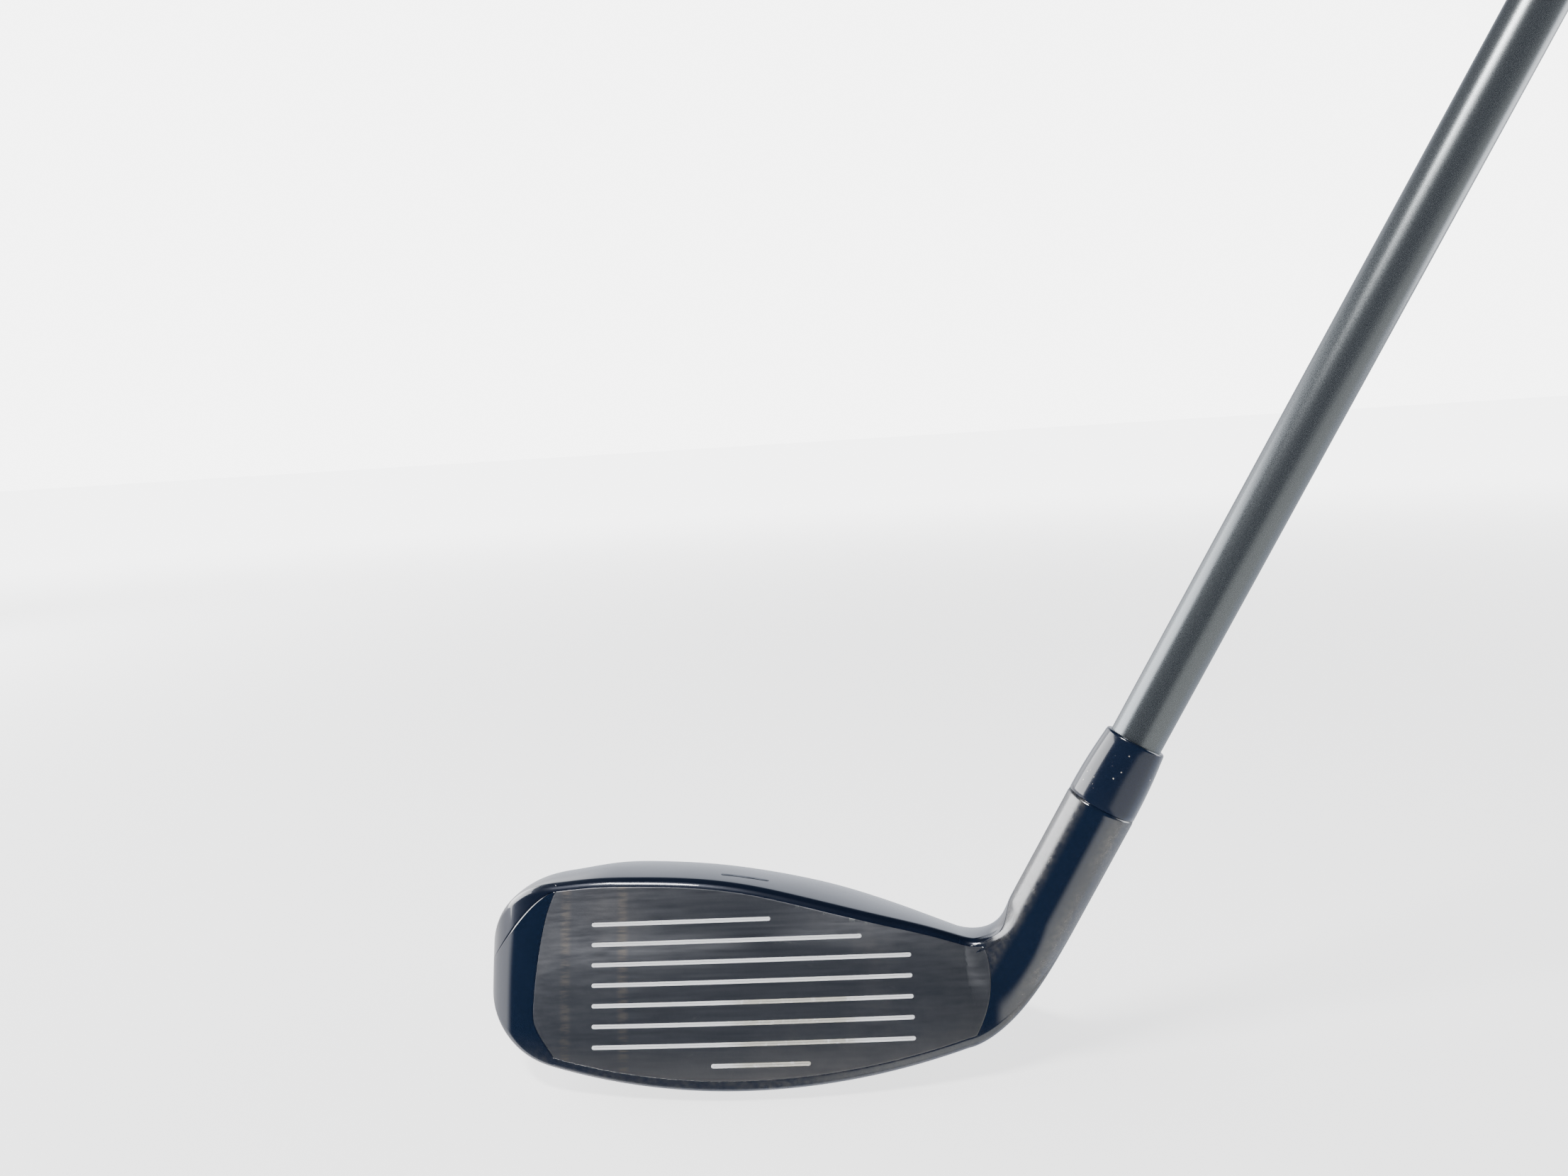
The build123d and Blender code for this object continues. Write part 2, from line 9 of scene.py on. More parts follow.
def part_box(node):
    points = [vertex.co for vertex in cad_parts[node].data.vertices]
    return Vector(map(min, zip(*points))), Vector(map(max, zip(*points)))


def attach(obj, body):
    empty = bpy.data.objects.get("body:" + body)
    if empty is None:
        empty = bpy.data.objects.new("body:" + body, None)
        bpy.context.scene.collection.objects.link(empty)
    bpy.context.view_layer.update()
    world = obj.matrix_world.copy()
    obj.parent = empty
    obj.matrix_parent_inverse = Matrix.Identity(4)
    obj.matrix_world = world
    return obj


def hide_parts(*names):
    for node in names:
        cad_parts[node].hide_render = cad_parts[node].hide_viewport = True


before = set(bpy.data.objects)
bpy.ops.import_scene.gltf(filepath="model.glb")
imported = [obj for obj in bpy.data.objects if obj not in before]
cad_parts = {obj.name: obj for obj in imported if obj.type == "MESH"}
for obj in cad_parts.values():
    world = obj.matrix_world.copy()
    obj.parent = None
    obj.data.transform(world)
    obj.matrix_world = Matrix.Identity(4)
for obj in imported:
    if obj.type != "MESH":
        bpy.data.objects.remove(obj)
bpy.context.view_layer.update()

MM = 0.001

# ---- the head's shape, in millimetres, as the CAD part has it ----
LOFT = radians(21.0)
LIE = radians(60.4)
AXIS_X = 37.18               # where the shaft's axis meets the ground
AXIS_Y = -5.0
FACE_CENTRE = np.array([0.0, -11.0, 20.26])
FACE_RADIUS = 254.0          # bulge and roll
TOE_X = -51.6
TOE_ROUND_X = -37.0          # the toe's rounding starts here
TOE_POWER = 2.45
TOE_POLE = np.array([6.0, 17.76])   # (y, z) that the toe closes on
SOLE_DROP = 19.3             # from the face's centre down the face to its lowest point
LEAD_LOW_X = -2.0
LEAD_CAMBER = (262.0, 285.0)        # of the leading edge, on the toe's side and the heel's
SOLE_CAMBER = 320.0
SOLE_ROCKER = (150.0, 380.0)        # in front of the origin and behind it
CROWN_RADIUS = 46.0
CROWN_FADE = 90.0            # the crown's curve eases off over this distance
TOP_EDGE_RADIUS = 2.0
LEAD_EDGE_RADIUS = 3.0
REAR_ROUND = 16.0
REAR_POWERS = (2.6, 2.2)     # how the crown and the sole close on each other at the rear
HEEL_X = 38.8                # the heel's turn starts here
HEEL_TURN_RADIUS = 10.7
HEEL_DRIFT = 12.0            # how far the body's slant is carried into the turn
HEEL_HASTE = 0.8             # below 1 the section turns round sooner
HOSEL_RADIUS = 6.3
HOSEL_TOP = 56.04            # along the shaft's axis from the ground

# (x, height up the face) of the face's top edge, (x, slope) of the crown there and (x, depth)
TOP_LINE = [(-53, 17.0), (-45, 18.0), (-37, 18.5), (-30, 18.9), (-22, 18.8), (-9, 18.0),
            (0, 16.6), (9, 14.4), (24, 10.4), (34, 7.8), (40, 5.9), (46, 4.0)]
CROWN_SLOPE = [(-53, -0.03), (-36, -0.02), (-27, 0.01), (-19, 0.01), (0, 0.0), (12.6, 0.015),
               (20, 0.005), (28, -0.035), (36, -0.09), (44, -0.12)]
DEPTH = [(-53, 50), (-45, 55), (-35, 59.5), (-20, 62), (-5, 62), (10, 58.5), (20, 52), (30, 42),
         (38, 32), (44, 26)]
LINE_PITCH = 3.6
LINE_WIDTH = 0.8
LINE_DEPTH = 0.35
LINE_TOE_X = -29.4
LINE_HEEL_X = (4.1, 20.6, 29.4, 29.4, 29.4, 29.4, 29.4)
SHORT_LINE_X = (-7.4, 10.5)
PAINT_SINK = 0.03            # the paint's edge lies this far below the steel
PAINT_HOLLOW = 0.11          # and its middle this far
PAINT_BITE = 0.02            # the paint reaches this far into the floor of its groove

# the ferrule, the shaft, the grip and its cap, at distances along the shaft's axis from the ground
FERRULE_LENGTH = 13.0
FERRULE_RADII = (6.25, 5.5)
SHAFT_TIP = 26.0
SHAFT_TIP_END = 216.0
SHAFT_BUTT = 850.0
SHAFT_END = 1010.0
SHAFT_RADII = (4.7, 7.62)
SHAFT_BORES = (2.95, 6.5)
GRIP_MOUTH = 747.0
GRIP_BUTT = 1007.0
GRIP_RADIUS = 9.4
GRIP_SWELL = 3.6
CAP_END = 1014.0
CAP_RADIUS = 13.4
CAP_VENT = 1.25

# x of the face's toe edge, against the way up the face from 0 to 1
FACE_TOE_EDGE = [(0.0, -36.6), (0.06, -38.2), (0.14, -40.0), (0.29, -40.7), (0.51, -40.2),
                 (0.74, -39.2), (0.92, -37.7), (1.0, -36.6)]
# degrees of the heel's turn that the face's heel end reaches, against the way up the face
FACE_HEEL_EDGE = [(0.0, 3.0), (0.3, 11.0), (0.58, 15.6), (0.8, 12.8), (0.96, 4.6), (1.0, 2.5)]

# the crown's seams
SEAM_DROP = 0.43             # the front seam's fall at the toe, as a share of the face's height
SEAM_REAR = 3.18             # place on a section of the rear seam
TONGUE_REAR = 2.80           # the same, on the tongue
TONGUE_RISE = 0.55           # share of the heel's turn in which the front seam rises
TONGUE_INSET = 0.30          # its further rise on the tongue
TONGUE_END = 34.2            # along the shaft's axis
SEAM_DEPTH = 0.12
SEAM_GAPS = (0.25, 0.005, 0.0028)   # to a seam's neighbours: stations, face rows, shell rows

FACE_UP = np.array([0.0, sin(LOFT), cos(LOFT)])
FACE_OUT = np.array([0.0, -cos(LOFT), sin(LOFT)])
AXIS = np.array([cos(LIE), 0.0, sin(LIE)])
AXIS_FOOT = np.array([AXIS_X, AXIS_Y, 0.0])
HEEL_RISE = (HOSEL_RADIUS + HEEL_TURN_RADIUS + (HEEL_X - AXIS_X) * sin(LIE)) / cos(LIE)
HEEL_CENTRE = np.array([HEEL_X, HEEL_RISE])

# a place on a section counts 0-1 up the face, 1-2 round the top edge, 2-3 over the crown,
# 3-4 back under the sole and 4-5 round the leading edge
SAMPLES = (48, 14, 110, 110, 14)
TOE_STEPS = 44
MAIN_STEP = 0.9
TURN_STEPS = 60
HOSEL_STEPS = 36


def smooth_curve(points):
    """Natural cubic spline through (x, value) points, for arrays too."""
    x = np.array([p[0] for p in points], float)
    v = np.array([p[1] for p in points], float)
    h = np.diff(x)
    count = len(x)
    matrix = np.eye(count)
    right = np.zeros(count)
    for i in range(1, count - 1):
        matrix[i, i - 1:i + 2] = h[i - 1], 2 * (h[i - 1] + h[i]), h[i]
        right[i] = 6 * ((v[i + 1] - v[i]) / h[i] - (v[i] - v[i - 1]) / h[i - 1])
    bend = np.linalg.solve(matrix, right)

    def value(at):
        at = np.asarray(at, float)
        i = np.clip(np.searchsorted(x, at) - 1, 0, count - 2)
        a = x[i + 1] - at
        b = at - x[i]
        cubic = (bend[i] * a ** 3 + bend[i + 1] * b ** 3) / (6 * h[i])
        below = (v[i] / h[i] - bend[i] * h[i] / 6) * a
        above = (v[i + 1] / h[i] - bend[i + 1] * h[i] / 6) * b
        return cubic + below + above

    return value


top_line = smooth_curve(TOP_LINE)
crown_slope = smooth_curve(CROWN_SLOPE)
head_depth = smooth_curve(DEPTH)
face_toe_edge = smooth_curve(FACE_TOE_EDGE)
face_heel_edge = smooth_curve(FACE_HEEL_EDGE)


def face_spot(x, up):
    """3-D points on the bulged and rolled face."""
    x, up = np.broadcast_arrays(np.asarray(x, float), np.asarray(up, float))
    sag = -(x * x + up * up) / (2 * FACE_RADIUS)
    spot = FACE_CENTRE + up[..., None] * FACE_UP + sag[..., None] * FACE_OUT
    spot[..., 0] = x
    return spot


def lead_edge(x):
    """The leading edge's distance up the face from its centre, so it's below zero."""
    camber = LEAD_CAMBER[0] if x < LEAD_LOW_X else LEAD_CAMBER[1]
    return -SOLE_DROP + (x - LEAD_LOW_X) ** 2 / camber


def sole_height(x, y):
    rocker = np.where(np.asarray(y) < 0, *SOLE_ROCKER)
    return x * x / SOLE_CAMBER + y * y / rocker


def crown_height(x, y, edge):
    """Height of the crown behind the (y, z) edge above the face."""
    run = y - edge[0]
    fade = 1 + np.maximum(run, 0) / CROWN_FADE
    return edge[1] + crown_slope(x) * run - run * run / (2 * CROWN_RADIUS) / fade


def rounded(start, end, corner, count):
    """Points of a curve from start to end that is pulled towards the corner."""
    pull = 0.58
    a = start + (corner - start) * pull
    b = end + (corner - end) * pull
    t = np.linspace(0, 1, count + 1)[1:, None]
    return (1 - t) ** 3 * start + 3 * (1 - t) ** 2 * t * a + 3 * (1 - t) * t * t * b + t ** 3 * end


def body_section(x):
    """Closed (y, z) loop of the head at x, from the leading edge up the face and round."""
    face_n, top_n, crown_n, sole_n, lead_n = SAMPLES
    top = float(top_line(x))
    lead = lead_edge(x)
    top_corner = face_spot(x, top)[1:]
    lead_corner = face_spot(x, lead)[1:]
    top_inset = 0.69 * TOP_EDGE_RADIUS
    lead_inset = 0.75 * LEAD_EDGE_RADIUS
    rear = face_spot(x, 0)[1] + float(head_depth(x))
    drop = lead_corner[1] - float(sole_height(x, lead_corner[0]))

    def closed(y, side):
        crown = crown_height(x, y, top_corner)
        sole = sole_height(x, y) + drop
        closing = np.clip((y - rear + REAR_ROUND) / REAR_ROUND, 0, 1)
        half = (crown - sole) / 2 * (1 - closing ** REAR_POWERS[0]) ** (1 / REAR_POWERS[1])
        return np.column_stack([y, (crown + sole) / 2 + side * half])

    face = face_spot(x, np.linspace(lead + lead_inset, top - top_inset, face_n + 1))[:, 1:]
    start = top_corner[0] + top_inset
    crown = closed(start + (rear - start) * np.sin(np.linspace(0, pi / 2, crown_n + 1)), 1)
    end = lead_corner[0] + lead_inset
    sole = closed(rear + (end - rear) * (1 - np.cos(np.linspace(0, pi / 2, sole_n + 1))), -1)
    top_edge = rounded(face[-1], crown[0], top_corner, top_n)
    low_edge = rounded(sole[-1], face[0], lead_corner, lead_n)
    return np.vstack([face, top_edge, crown[1:], sole[1:], low_edge])


def toe_loop(part):
    """Section of the toe from its root (0) to its end (1)."""
    x = TOE_ROUND_X - (TOE_ROUND_X - TOE_X) * part
    shrink = max(1 - part ** TOE_POWER, 0) ** (1 / TOE_POWER)
    loop = TOE_POLE + (body_section(x) - TOE_POLE) * shrink
    return np.column_stack([np.full(len(loop), x), loop])


def hosel_loop():
    """The hosel's circle as (y, distance from the heel centre), in step with the body's points."""
    face_n, top_n, crown_n, sole_n, lead_n = SAMPLES
    spans = [np.linspace(150, 50, face_n + 1),
             np.linspace(50, 36, top_n + 1)[1:],
             np.linspace(36, -90, crown_n + 1)[1:],
             np.linspace(-90, -198, sole_n + 1)[1:],
             np.linspace(-198, -210, lead_n + 1)[1:]]
    angle = np.radians(np.concatenate(spans))
    y = AXIS_Y - HOSEL_RADIUS * np.sin(angle)
    return np.column_stack([y, HEEL_TURN_RADIUS + HOSEL_RADIUS - HOSEL_RADIUS * np.cos(angle)])


def heel_loop(part):
    """Section at part 0 (body) to 1 (hosel) of the heel's turn."""
    body = body_section(HEEL_X)
    step = 0.5
    rate = (body - body_section(HEEL_X - step)) / step
    loop = np.column_stack([body[:, 0], HEEL_CENTRE[1] - body[:, 1]])
    drift = np.column_stack([rate[:, 0], -rate[:, 1]])
    eased = part ** HEEL_HASTE
    blend = eased * eased * (3 - 2 * eased)
    angle = part * LIE
    flat = (1 - blend) * (loop + HEEL_DRIFT * angle * drift) + blend * hosel_loop()
    x = HEEL_X + flat[:, 1] * sin(angle)
    z = HEEL_CENTRE[1] - flat[:, 1] * cos(angle)
    return np.column_stack([x, flat[:, 0], z])


def head_table():
    """Every section from the toe's end to the hosel's top, with each one's x up to the heel's turn,
    the turn's first section and the hosel's foot."""
    loops, marks = [], []
    for k in range(TOE_STEPS):
        part = sin(pi / 2 * (1 - k / TOE_STEPS))
        loops.append(toe_loop(part))
        marks.append(TOE_ROUND_X - (TOE_ROUND_X - TOE_X) * part)
    for x in np.arange(TOE_ROUND_X, HEEL_X - MAIN_STEP / 2, MAIN_STEP):
        section = body_section(x)
        loops.append(np.column_stack([np.full(len(section), x), section]))
        marks.append(x)
    turn = len(loops)
    loops += [heel_loop(k / TURN_STEPS) for k in range(TURN_STEPS + 1)]
    circle = loops[-1]
    foot = float(((circle - AXIS_FOOT) @ AXIS).mean())
    rises = np.linspace(0, HOSEL_TOP - foot, HOSEL_STEPS + 1)[1:]
    loops += [circle + AXIS * rise for rise in rises]
    return np.array(loops), np.array(marks), turn, foot


TABLE, STATION_X, TURN_START, HOSEL_FOOT = head_table()
HOSEL_FIRST = TURN_START + TURN_STEPS
LAST = len(TABLE) - 1
PLACES = np.concatenate([[0.0]] + [k + np.linspace(0, 1, n + 1)[1:] for k, n in enumerate(SAMPLES)])


def skin(station, place):
    """Points on the head's outside at real-valued stations and places."""
    station = np.clip(station, 0, LAST)
    at = np.interp(np.mod(place, 5.0), PLACES, np.arange(len(PLACES)))
    i = np.minimum(station.astype(int), LAST - 1)
    j = np.minimum(at.astype(int), len(PLACES) - 2)
    s = (station - i)[..., None]
    t = (at - j)[..., None]
    low = TABLE[i, j] * (1 - t) + TABLE[i, j + 1] * t
    high = TABLE[i + 1, j] * (1 - t) + TABLE[i + 1, j + 1] * t
    return low * (1 - s) + high * s


def station_of_x(x):
    return np.interp(x, STATION_X, np.arange(len(STATION_X)))


def ease(t):
    """0 to 1, slow at both ends."""
    t = np.clip(t, 0, 1)
    return t * t * (3 - 2 * t)


def seam_front(station):
    """Place of the crown's front seam: the face's top edge, lower at the toe, higher on the hosel."""
    x = np.interp(station, np.arange(len(STATION_X)), STATION_X)
    part = np.clip((TOE_ROUND_X - x) / (TOE_ROUND_X - TOE_X), 0, 1)
    turned = station - TURN_START
    steps = TONGUE_RISE * TURN_STEPS
    rise = ease(turned / steps)
    rise = rise + TONGUE_INSET * ease((turned - (1 - TONGUE_RISE) * TURN_STEPS) / steps)
    return 1 - SEAM_DROP * part ** 1.5 + rise


def seam_rear(station):
    """Place of the crown's rear seam, which draws in from just before the heel's turn."""
    lead = 18
    inward = ease((station - TURN_START + lead) / (lead + 0.6 * TURN_STEPS))
    return SEAM_REAR + (TONGUE_REAR - SEAM_REAR) * inward


TOE_EDGE = float(station_of_x(-39.0))
HEEL_EDGE = TURN_START + 10.0
TONGUE_STATION = HOSEL_FIRST + HOSEL_STEPS * (TONGUE_END - HOSEL_FOOT) / (HOSEL_TOP - HOSEL_FOOT)
EDGE_REACH = 16.0            # stations beside the face's ends that slide with them


def with_seams(values, seams, gap):
    """The values with each seam added exactly, and a close neighbour on both sides of it."""
    kept = [v for v in values if all(abs(v - seam) > 2.5 * gap for seam in seams)]
    for seam in seams:
        kept += [seam - gap, seam, seam + gap]
    return np.array(sorted(v for v in kept if values[0] <= v <= values[-1]))


def edge_shift(station, up):
    """How far the stations slide near the face's toe and heel edges, to follow their curves."""
    toe = station_of_x(face_toe_edge(up)) - TOE_EDGE
    heel = TURN_START + np.radians(face_heel_edge(up)) / LIE * TURN_STEPS - HEEL_EDGE
    near_toe = np.cos(np.clip((station - TOE_EDGE) / EDGE_REACH, -1, 1) * pi / 2) ** 2
    near_heel = np.cos(np.clip((station - HEEL_EDGE) / EDGE_REACH, -1, 1) * pi / 2) ** 2
    return toe * near_toe + heel * near_heel


STATIONS = with_seams(np.arange(LAST + 1.0), [TOE_EDGE, HEEL_EDGE, TONGUE_STATION], SEAM_GAPS[0])
FRONT_ROWS = with_seams(np.linspace(0, 1, 49), [0.0, 1.0], SEAM_GAPS[1])
CROWN_ROWS = with_seams(np.linspace(0, 1, 141), [0.0, 1.0], SEAM_GAPS[2])
SOLE_ROWS = with_seams(np.linspace(0, 1, 131), [0.0, 1.0], SEAM_GAPS[2])


def head_grid():
    """Points of the whole head in one grid (station, row), with rows in step with the seams.

    The rows go up the face (0-1), over the crown (1-2) and back under the sole (2-3)."""
    front = len(FRONT_ROWS) - 1
    crown = front + len(CROWN_ROWS) - 1
    last = crown + len(SOLE_ROWS) - 1
    station = np.repeat(STATIONS[:, None], last, axis=1)
    up = np.concatenate([FRONT_ROWS, np.ones(len(CROWN_ROWS) - 1), np.zeros(len(SOLE_ROWS) - 2)])
    crown_share = 1 - ease(CROWN_ROWS[1:] / 0.35)
    sole_share = ease((SOLE_ROWS[1:-1] - 0.6) / 0.4)
    share = np.concatenate([np.ones(front + 1), crown_share, sole_share])
    station = station + edge_shift(station, up[None, :]) * share[None, :]
    start, end = seam_front(station), seam_rear(station)
    rows = np.concatenate([FRONT_ROWS, 1 + CROWN_ROWS[1:], 2 + SOLE_ROWS[1:-1]])[None, :]
    over_crown = start + (rows - 1) * (end - start)
    under_sole = end + (rows - 2) * (5.0 - end)
    place = np.where(rows <= 1, rows * start, np.where(rows <= 2, over_crown, under_sole))
    return skin(station, place), front, crown


GRID, FRONT_END, CROWN_END = head_grid()
TOE_COLUMN = int(np.argmin(abs(STATIONS - TOE_EDGE)))
HEEL_COLUMN = int(np.argmin(abs(STATIONS - HEEL_EDGE)))
TONGUE_COLUMN = int(np.argmin(abs(STATIONS - TONGUE_STATION)))


def grid_normals(grid):
    """Outward normals of the head's grid, which closes on itself along its rows."""
    along = np.gradient(grid, axis=0)
    across = np.roll(grid, -1, axis=1) - np.roll(grid, 1, axis=1)
    normal = np.cross(along, across)
    length = np.linalg.norm(normal, axis=2, keepdims=True)
    return normal / np.maximum(length, 1e-9)


NORMALS = grid_normals(GRID)


# ---- meshes ----

def add_mesh(name, points, faces, smooth=True):
    """A mesh object from points in millimetres."""
    mesh = bpy.data.meshes.new(name)
    mesh.from_pydata((np.asarray(points) * MM).tolist(), [], faces)
    mesh.validate()
    mesh.polygons.foreach_set("use_smooth", [smooth] * len(mesh.polygons))
    made = bpy.data.objects.new(name, mesh)
    bpy.context.collection.objects.link(made)
    return made


def head_piece(name, blocks, wall, seam_depth=SEAM_DEPTH):
    """A shell piece of the head, from blocks of its grid.

    A block is (first column, last column, first row, last row). The piece's rim is sunk a little, which
    draws the seams, except in the first column, where the whole loop is the toe's end."""
    rows = GRID.shape[1]
    faces = []
    for c0, c1, r0, r1 in blocks:
        for c in range(c0, c1):
            for r in range(r0, r1):
                a, b = r % rows, (r + 1) % rows
                faces.append((c * rows + a, (c + 1) * rows + a, (c + 1) * rows + b, c * rows + b))
    uses = {}
    for face in faces:
        for k in range(4):
            edge = tuple(sorted((face[k], face[(k + 1) % 4])))
            uses[edge] = uses.get(edge, 0) + 1
    rim = {v for edge, count in uses.items() if count == 1 for v in edge}
    points, normals = GRID.reshape(-1, 3).copy(), NORMALS.reshape(-1, 3)
    sunk = [v for v in rim if v >= rows]
    points[sunk] -= normals[sunk] * seam_depth
    used = sorted({v for face in faces for v in face})
    place = {v: k for k, v in enumerate(used)}
    made = add_mesh(name, points[used], [tuple(place[v] for v in face) for face in faces])
    add_weld(made)
    shell = made.modifiers.new("shell", "SOLIDIFY")
    shell.thickness = wall * MM
    shell.offset = -1.0
    apply_modifiers(made)
    return made


def add_weld(made):
    """Joins points that lie in one place, such as where a loop shrinks to a point."""
    weld = made.modifiers.new("weld", "WELD")
    weld.merge_threshold = 1e-6


def apply_modifiers(made):
    """Bakes an object's modifiers into its mesh."""
    graph = bpy.context.evaluated_depsgraph_get()
    baked = bpy.data.meshes.new_from_object(made.evaluated_get(graph))
    made.modifiers.clear()
    old = made.data
    made.data = baked
    bpy.data.meshes.remove(old)


def cut(made, cutter):
    """Takes the cutter's shape out of the piece, and deletes the cutter."""
    boolean = made.modifiers.new("cut", "BOOLEAN")
    boolean.object = cutter
    boolean.operation = "DIFFERENCE"
    boolean.solver = "EXACT"
    apply_modifiers(made)
    bpy.data.objects.remove(cutter)


def lathe(name, profile, foot, direction, segments=96):
    """Solid of revolution of a closed (radius, distance) outline about an axis."""
    direction = np.asarray(direction, float)
    side = np.cross(direction, [0.0, 1.0, 0.0])
    side /= np.linalg.norm(side)
    other = np.cross(direction, side)
    points, faces = [], []
    count = len(profile)
    for s in range(segments):
        turn = 2 * pi * s / segments
        spoke = side * cos(turn) + other * sin(turn)
        points += [foot + direction * d + spoke * r for r, d in profile]
    for s in range(segments):
        n = (s + 1) % segments
        for k in range(count):
            m = (k + 1) % count
            faces.append((s * count + k, s * count + m, n * count + m, n * count + k))
    return add_mesh(name, points, faces)


def sharpen(made, degrees=35):
    """Splits the shading at edges sharper than an angle."""
    made.data.set_sharp_from_angle(angle=radians(degrees))
    return made


def join(first, *others):
    """Adds the other pieces' meshes to the first piece, all shaded smooth, and deletes the others."""
    for other in others:
        mesh = first.data
        joined = bpy.data.meshes.new(first.name)
        base = len(mesh.vertices)
        points = [tuple(v.co) for v in mesh.vertices] + [tuple(v.co) for v in other.data.vertices]
        faces = [tuple(p.vertices) for p in mesh.polygons]
        faces += [tuple(v + base for v in p.vertices) for p in other.data.polygons]
        joined.from_pydata(points, [], faces)
        joined.polygons.foreach_set("use_smooth", [True] * len(faces))
        first.data = joined
        bpy.data.objects.remove(other)
    return first


# ---- materials ----

class Nodes:
    """Short ways to build a node material."""

    def __init__(self, name):
        self.material = bpy.data.materials.new(name)
        self.material.use_nodes = True
        self.tree = self.material.node_tree
        self.shader = self.tree.nodes["Principled BSDF"]
        self.coords = self.add("ShaderNodeTexCoord").outputs["Object"]

    def add(self, kind, **settings):
        node = self.tree.nodes.new(kind)
        for key, value in settings.items():
            setattr(node, key, value)
        return node

    def link(self, output, socket):
        self.tree.links.new(output, socket)

    def set(self, **values):
        """Plain values on the shader's own sockets, by name with _ for a space."""
        for key, value in values.items():
            self.shader.inputs[key.replace("_", " ")].default_value = value

    def mapped(self, scale, turn=(0, 0, 0)):
        """Object coordinates, stretched and turned."""
        node = self.add("ShaderNodeMapping")
        node.inputs["Scale"].default_value = scale
        node.inputs["Rotation"].default_value = turn
        self.link(self.coords, node.inputs["Vector"])
        return node.outputs["Vector"]

    def noise(self, vector, scale, detail=4.0, rough=0.55):
        node = self.add("ShaderNodeTexNoise")
        node.inputs["Scale"].default_value = scale
        node.inputs["Detail"].default_value = detail
        node.inputs["Roughness"].default_value = rough
        self.link(vector, node.inputs["Vector"])
        return node.outputs["Fac"]

    def ramp(self, value, stops):
        """Colours, or greys given as numbers, by a value."""
        node = self.add("ShaderNodeValToRGB")
        ramp = node.color_ramp
        for k, (at, colour) in enumerate(stops):
            stop = ramp.elements[k] if k < 2 else ramp.elements.new(at)
            stop.position = at
            stop.color = (*colour, 1.0) if isinstance(colour, tuple) else (colour, colour, colour, 1.0)
        self.link(value, node.inputs["Fac"])
        return node.outputs["Color"]

    def math(self, kind, a, b):
        node = self.add("ShaderNodeMath", operation=kind)
        for socket, value in zip(node.inputs, (a, b)):
            if isinstance(value, (int, float)):
                socket.default_value = value
            else:
                self.link(value, socket)
        return node.outputs["Value"]

    def mix(self, share, a, b):
        """Colour a to colour b by a share."""
        node = self.add("ShaderNodeMix", data_type="RGBA")
        sockets = node.inputs["Factor"], node.inputs[6], node.inputs[7]
        for socket, value in zip(sockets, (share, a, b)):
            if isinstance(value, tuple):
                socket.default_value = (*value, 1.0)
            elif isinstance(value, (int, float)):
                socket.default_value = value
            else:
                self.link(value, socket)
        return node.outputs[2]

    def axis(self, name):
        node = self.add("ShaderNodeSeparateXYZ")
        self.link(self.coords, node.inputs["Vector"])
        return node.outputs[name]

    def span(self, value, low, high):
        """0 at low and beyond it, 1 at high and beyond it, smooth between them."""
        node = self.add("ShaderNodeMapRange", interpolation_type="SMOOTHSTEP")
        self.link(value, node.inputs["Value"])
        node.inputs["From Min"].default_value = low
        node.inputs["From Max"].default_value = high
        return node.outputs["Result"]

    def bump(self, height, distance, strength=1.0, below=None):
        node = self.add("ShaderNodeBump")
        node.inputs["Distance"].default_value = distance
        node.inputs["Strength"].default_value = strength
        self.link(height, node.inputs["Height"])
        if below is not None:
            self.link(below, node.inputs["Normal"])
        return node.outputs["Normal"]

    def normal(self, output):
        self.link(output, self.shader.inputs["Normal"])

    def to(self, output, name):
        self.link(output, self.shader.inputs[name])


def navy_paint():
    """Gloss navy lacquer with a fine flake, faint orange peel and a little dust."""
    n = Nodes("navy_gloss_paint")
    n.set(Metallic=0.35, IOR=1.5, Coat_Weight=1.0, Coat_Roughness=0.03, Coat_IOR=1.6)
    flake = n.noise(n.coords, 9000.0, 2.0)
    cloud = n.noise(n.coords, 60.0, 3.0)
    colour = n.mix(n.span(flake, 0.45, 0.8), (0.0035, 0.0075, 0.021), (0.007, 0.014, 0.036))
    colour = n.mix(n.span(cloud, 0.35, 0.75), colour, (0.0045, 0.009, 0.025))
    n.to(colour, "Base Color")
    n.to(n.ramp(cloud, [(0.3, 0.26), (0.75, 0.36)]), "Roughness")
    peel = n.noise(n.coords, 700.0, 2.0)
    n.normal(n.bump(peel, 0.00002, 0.25))
    return n.material


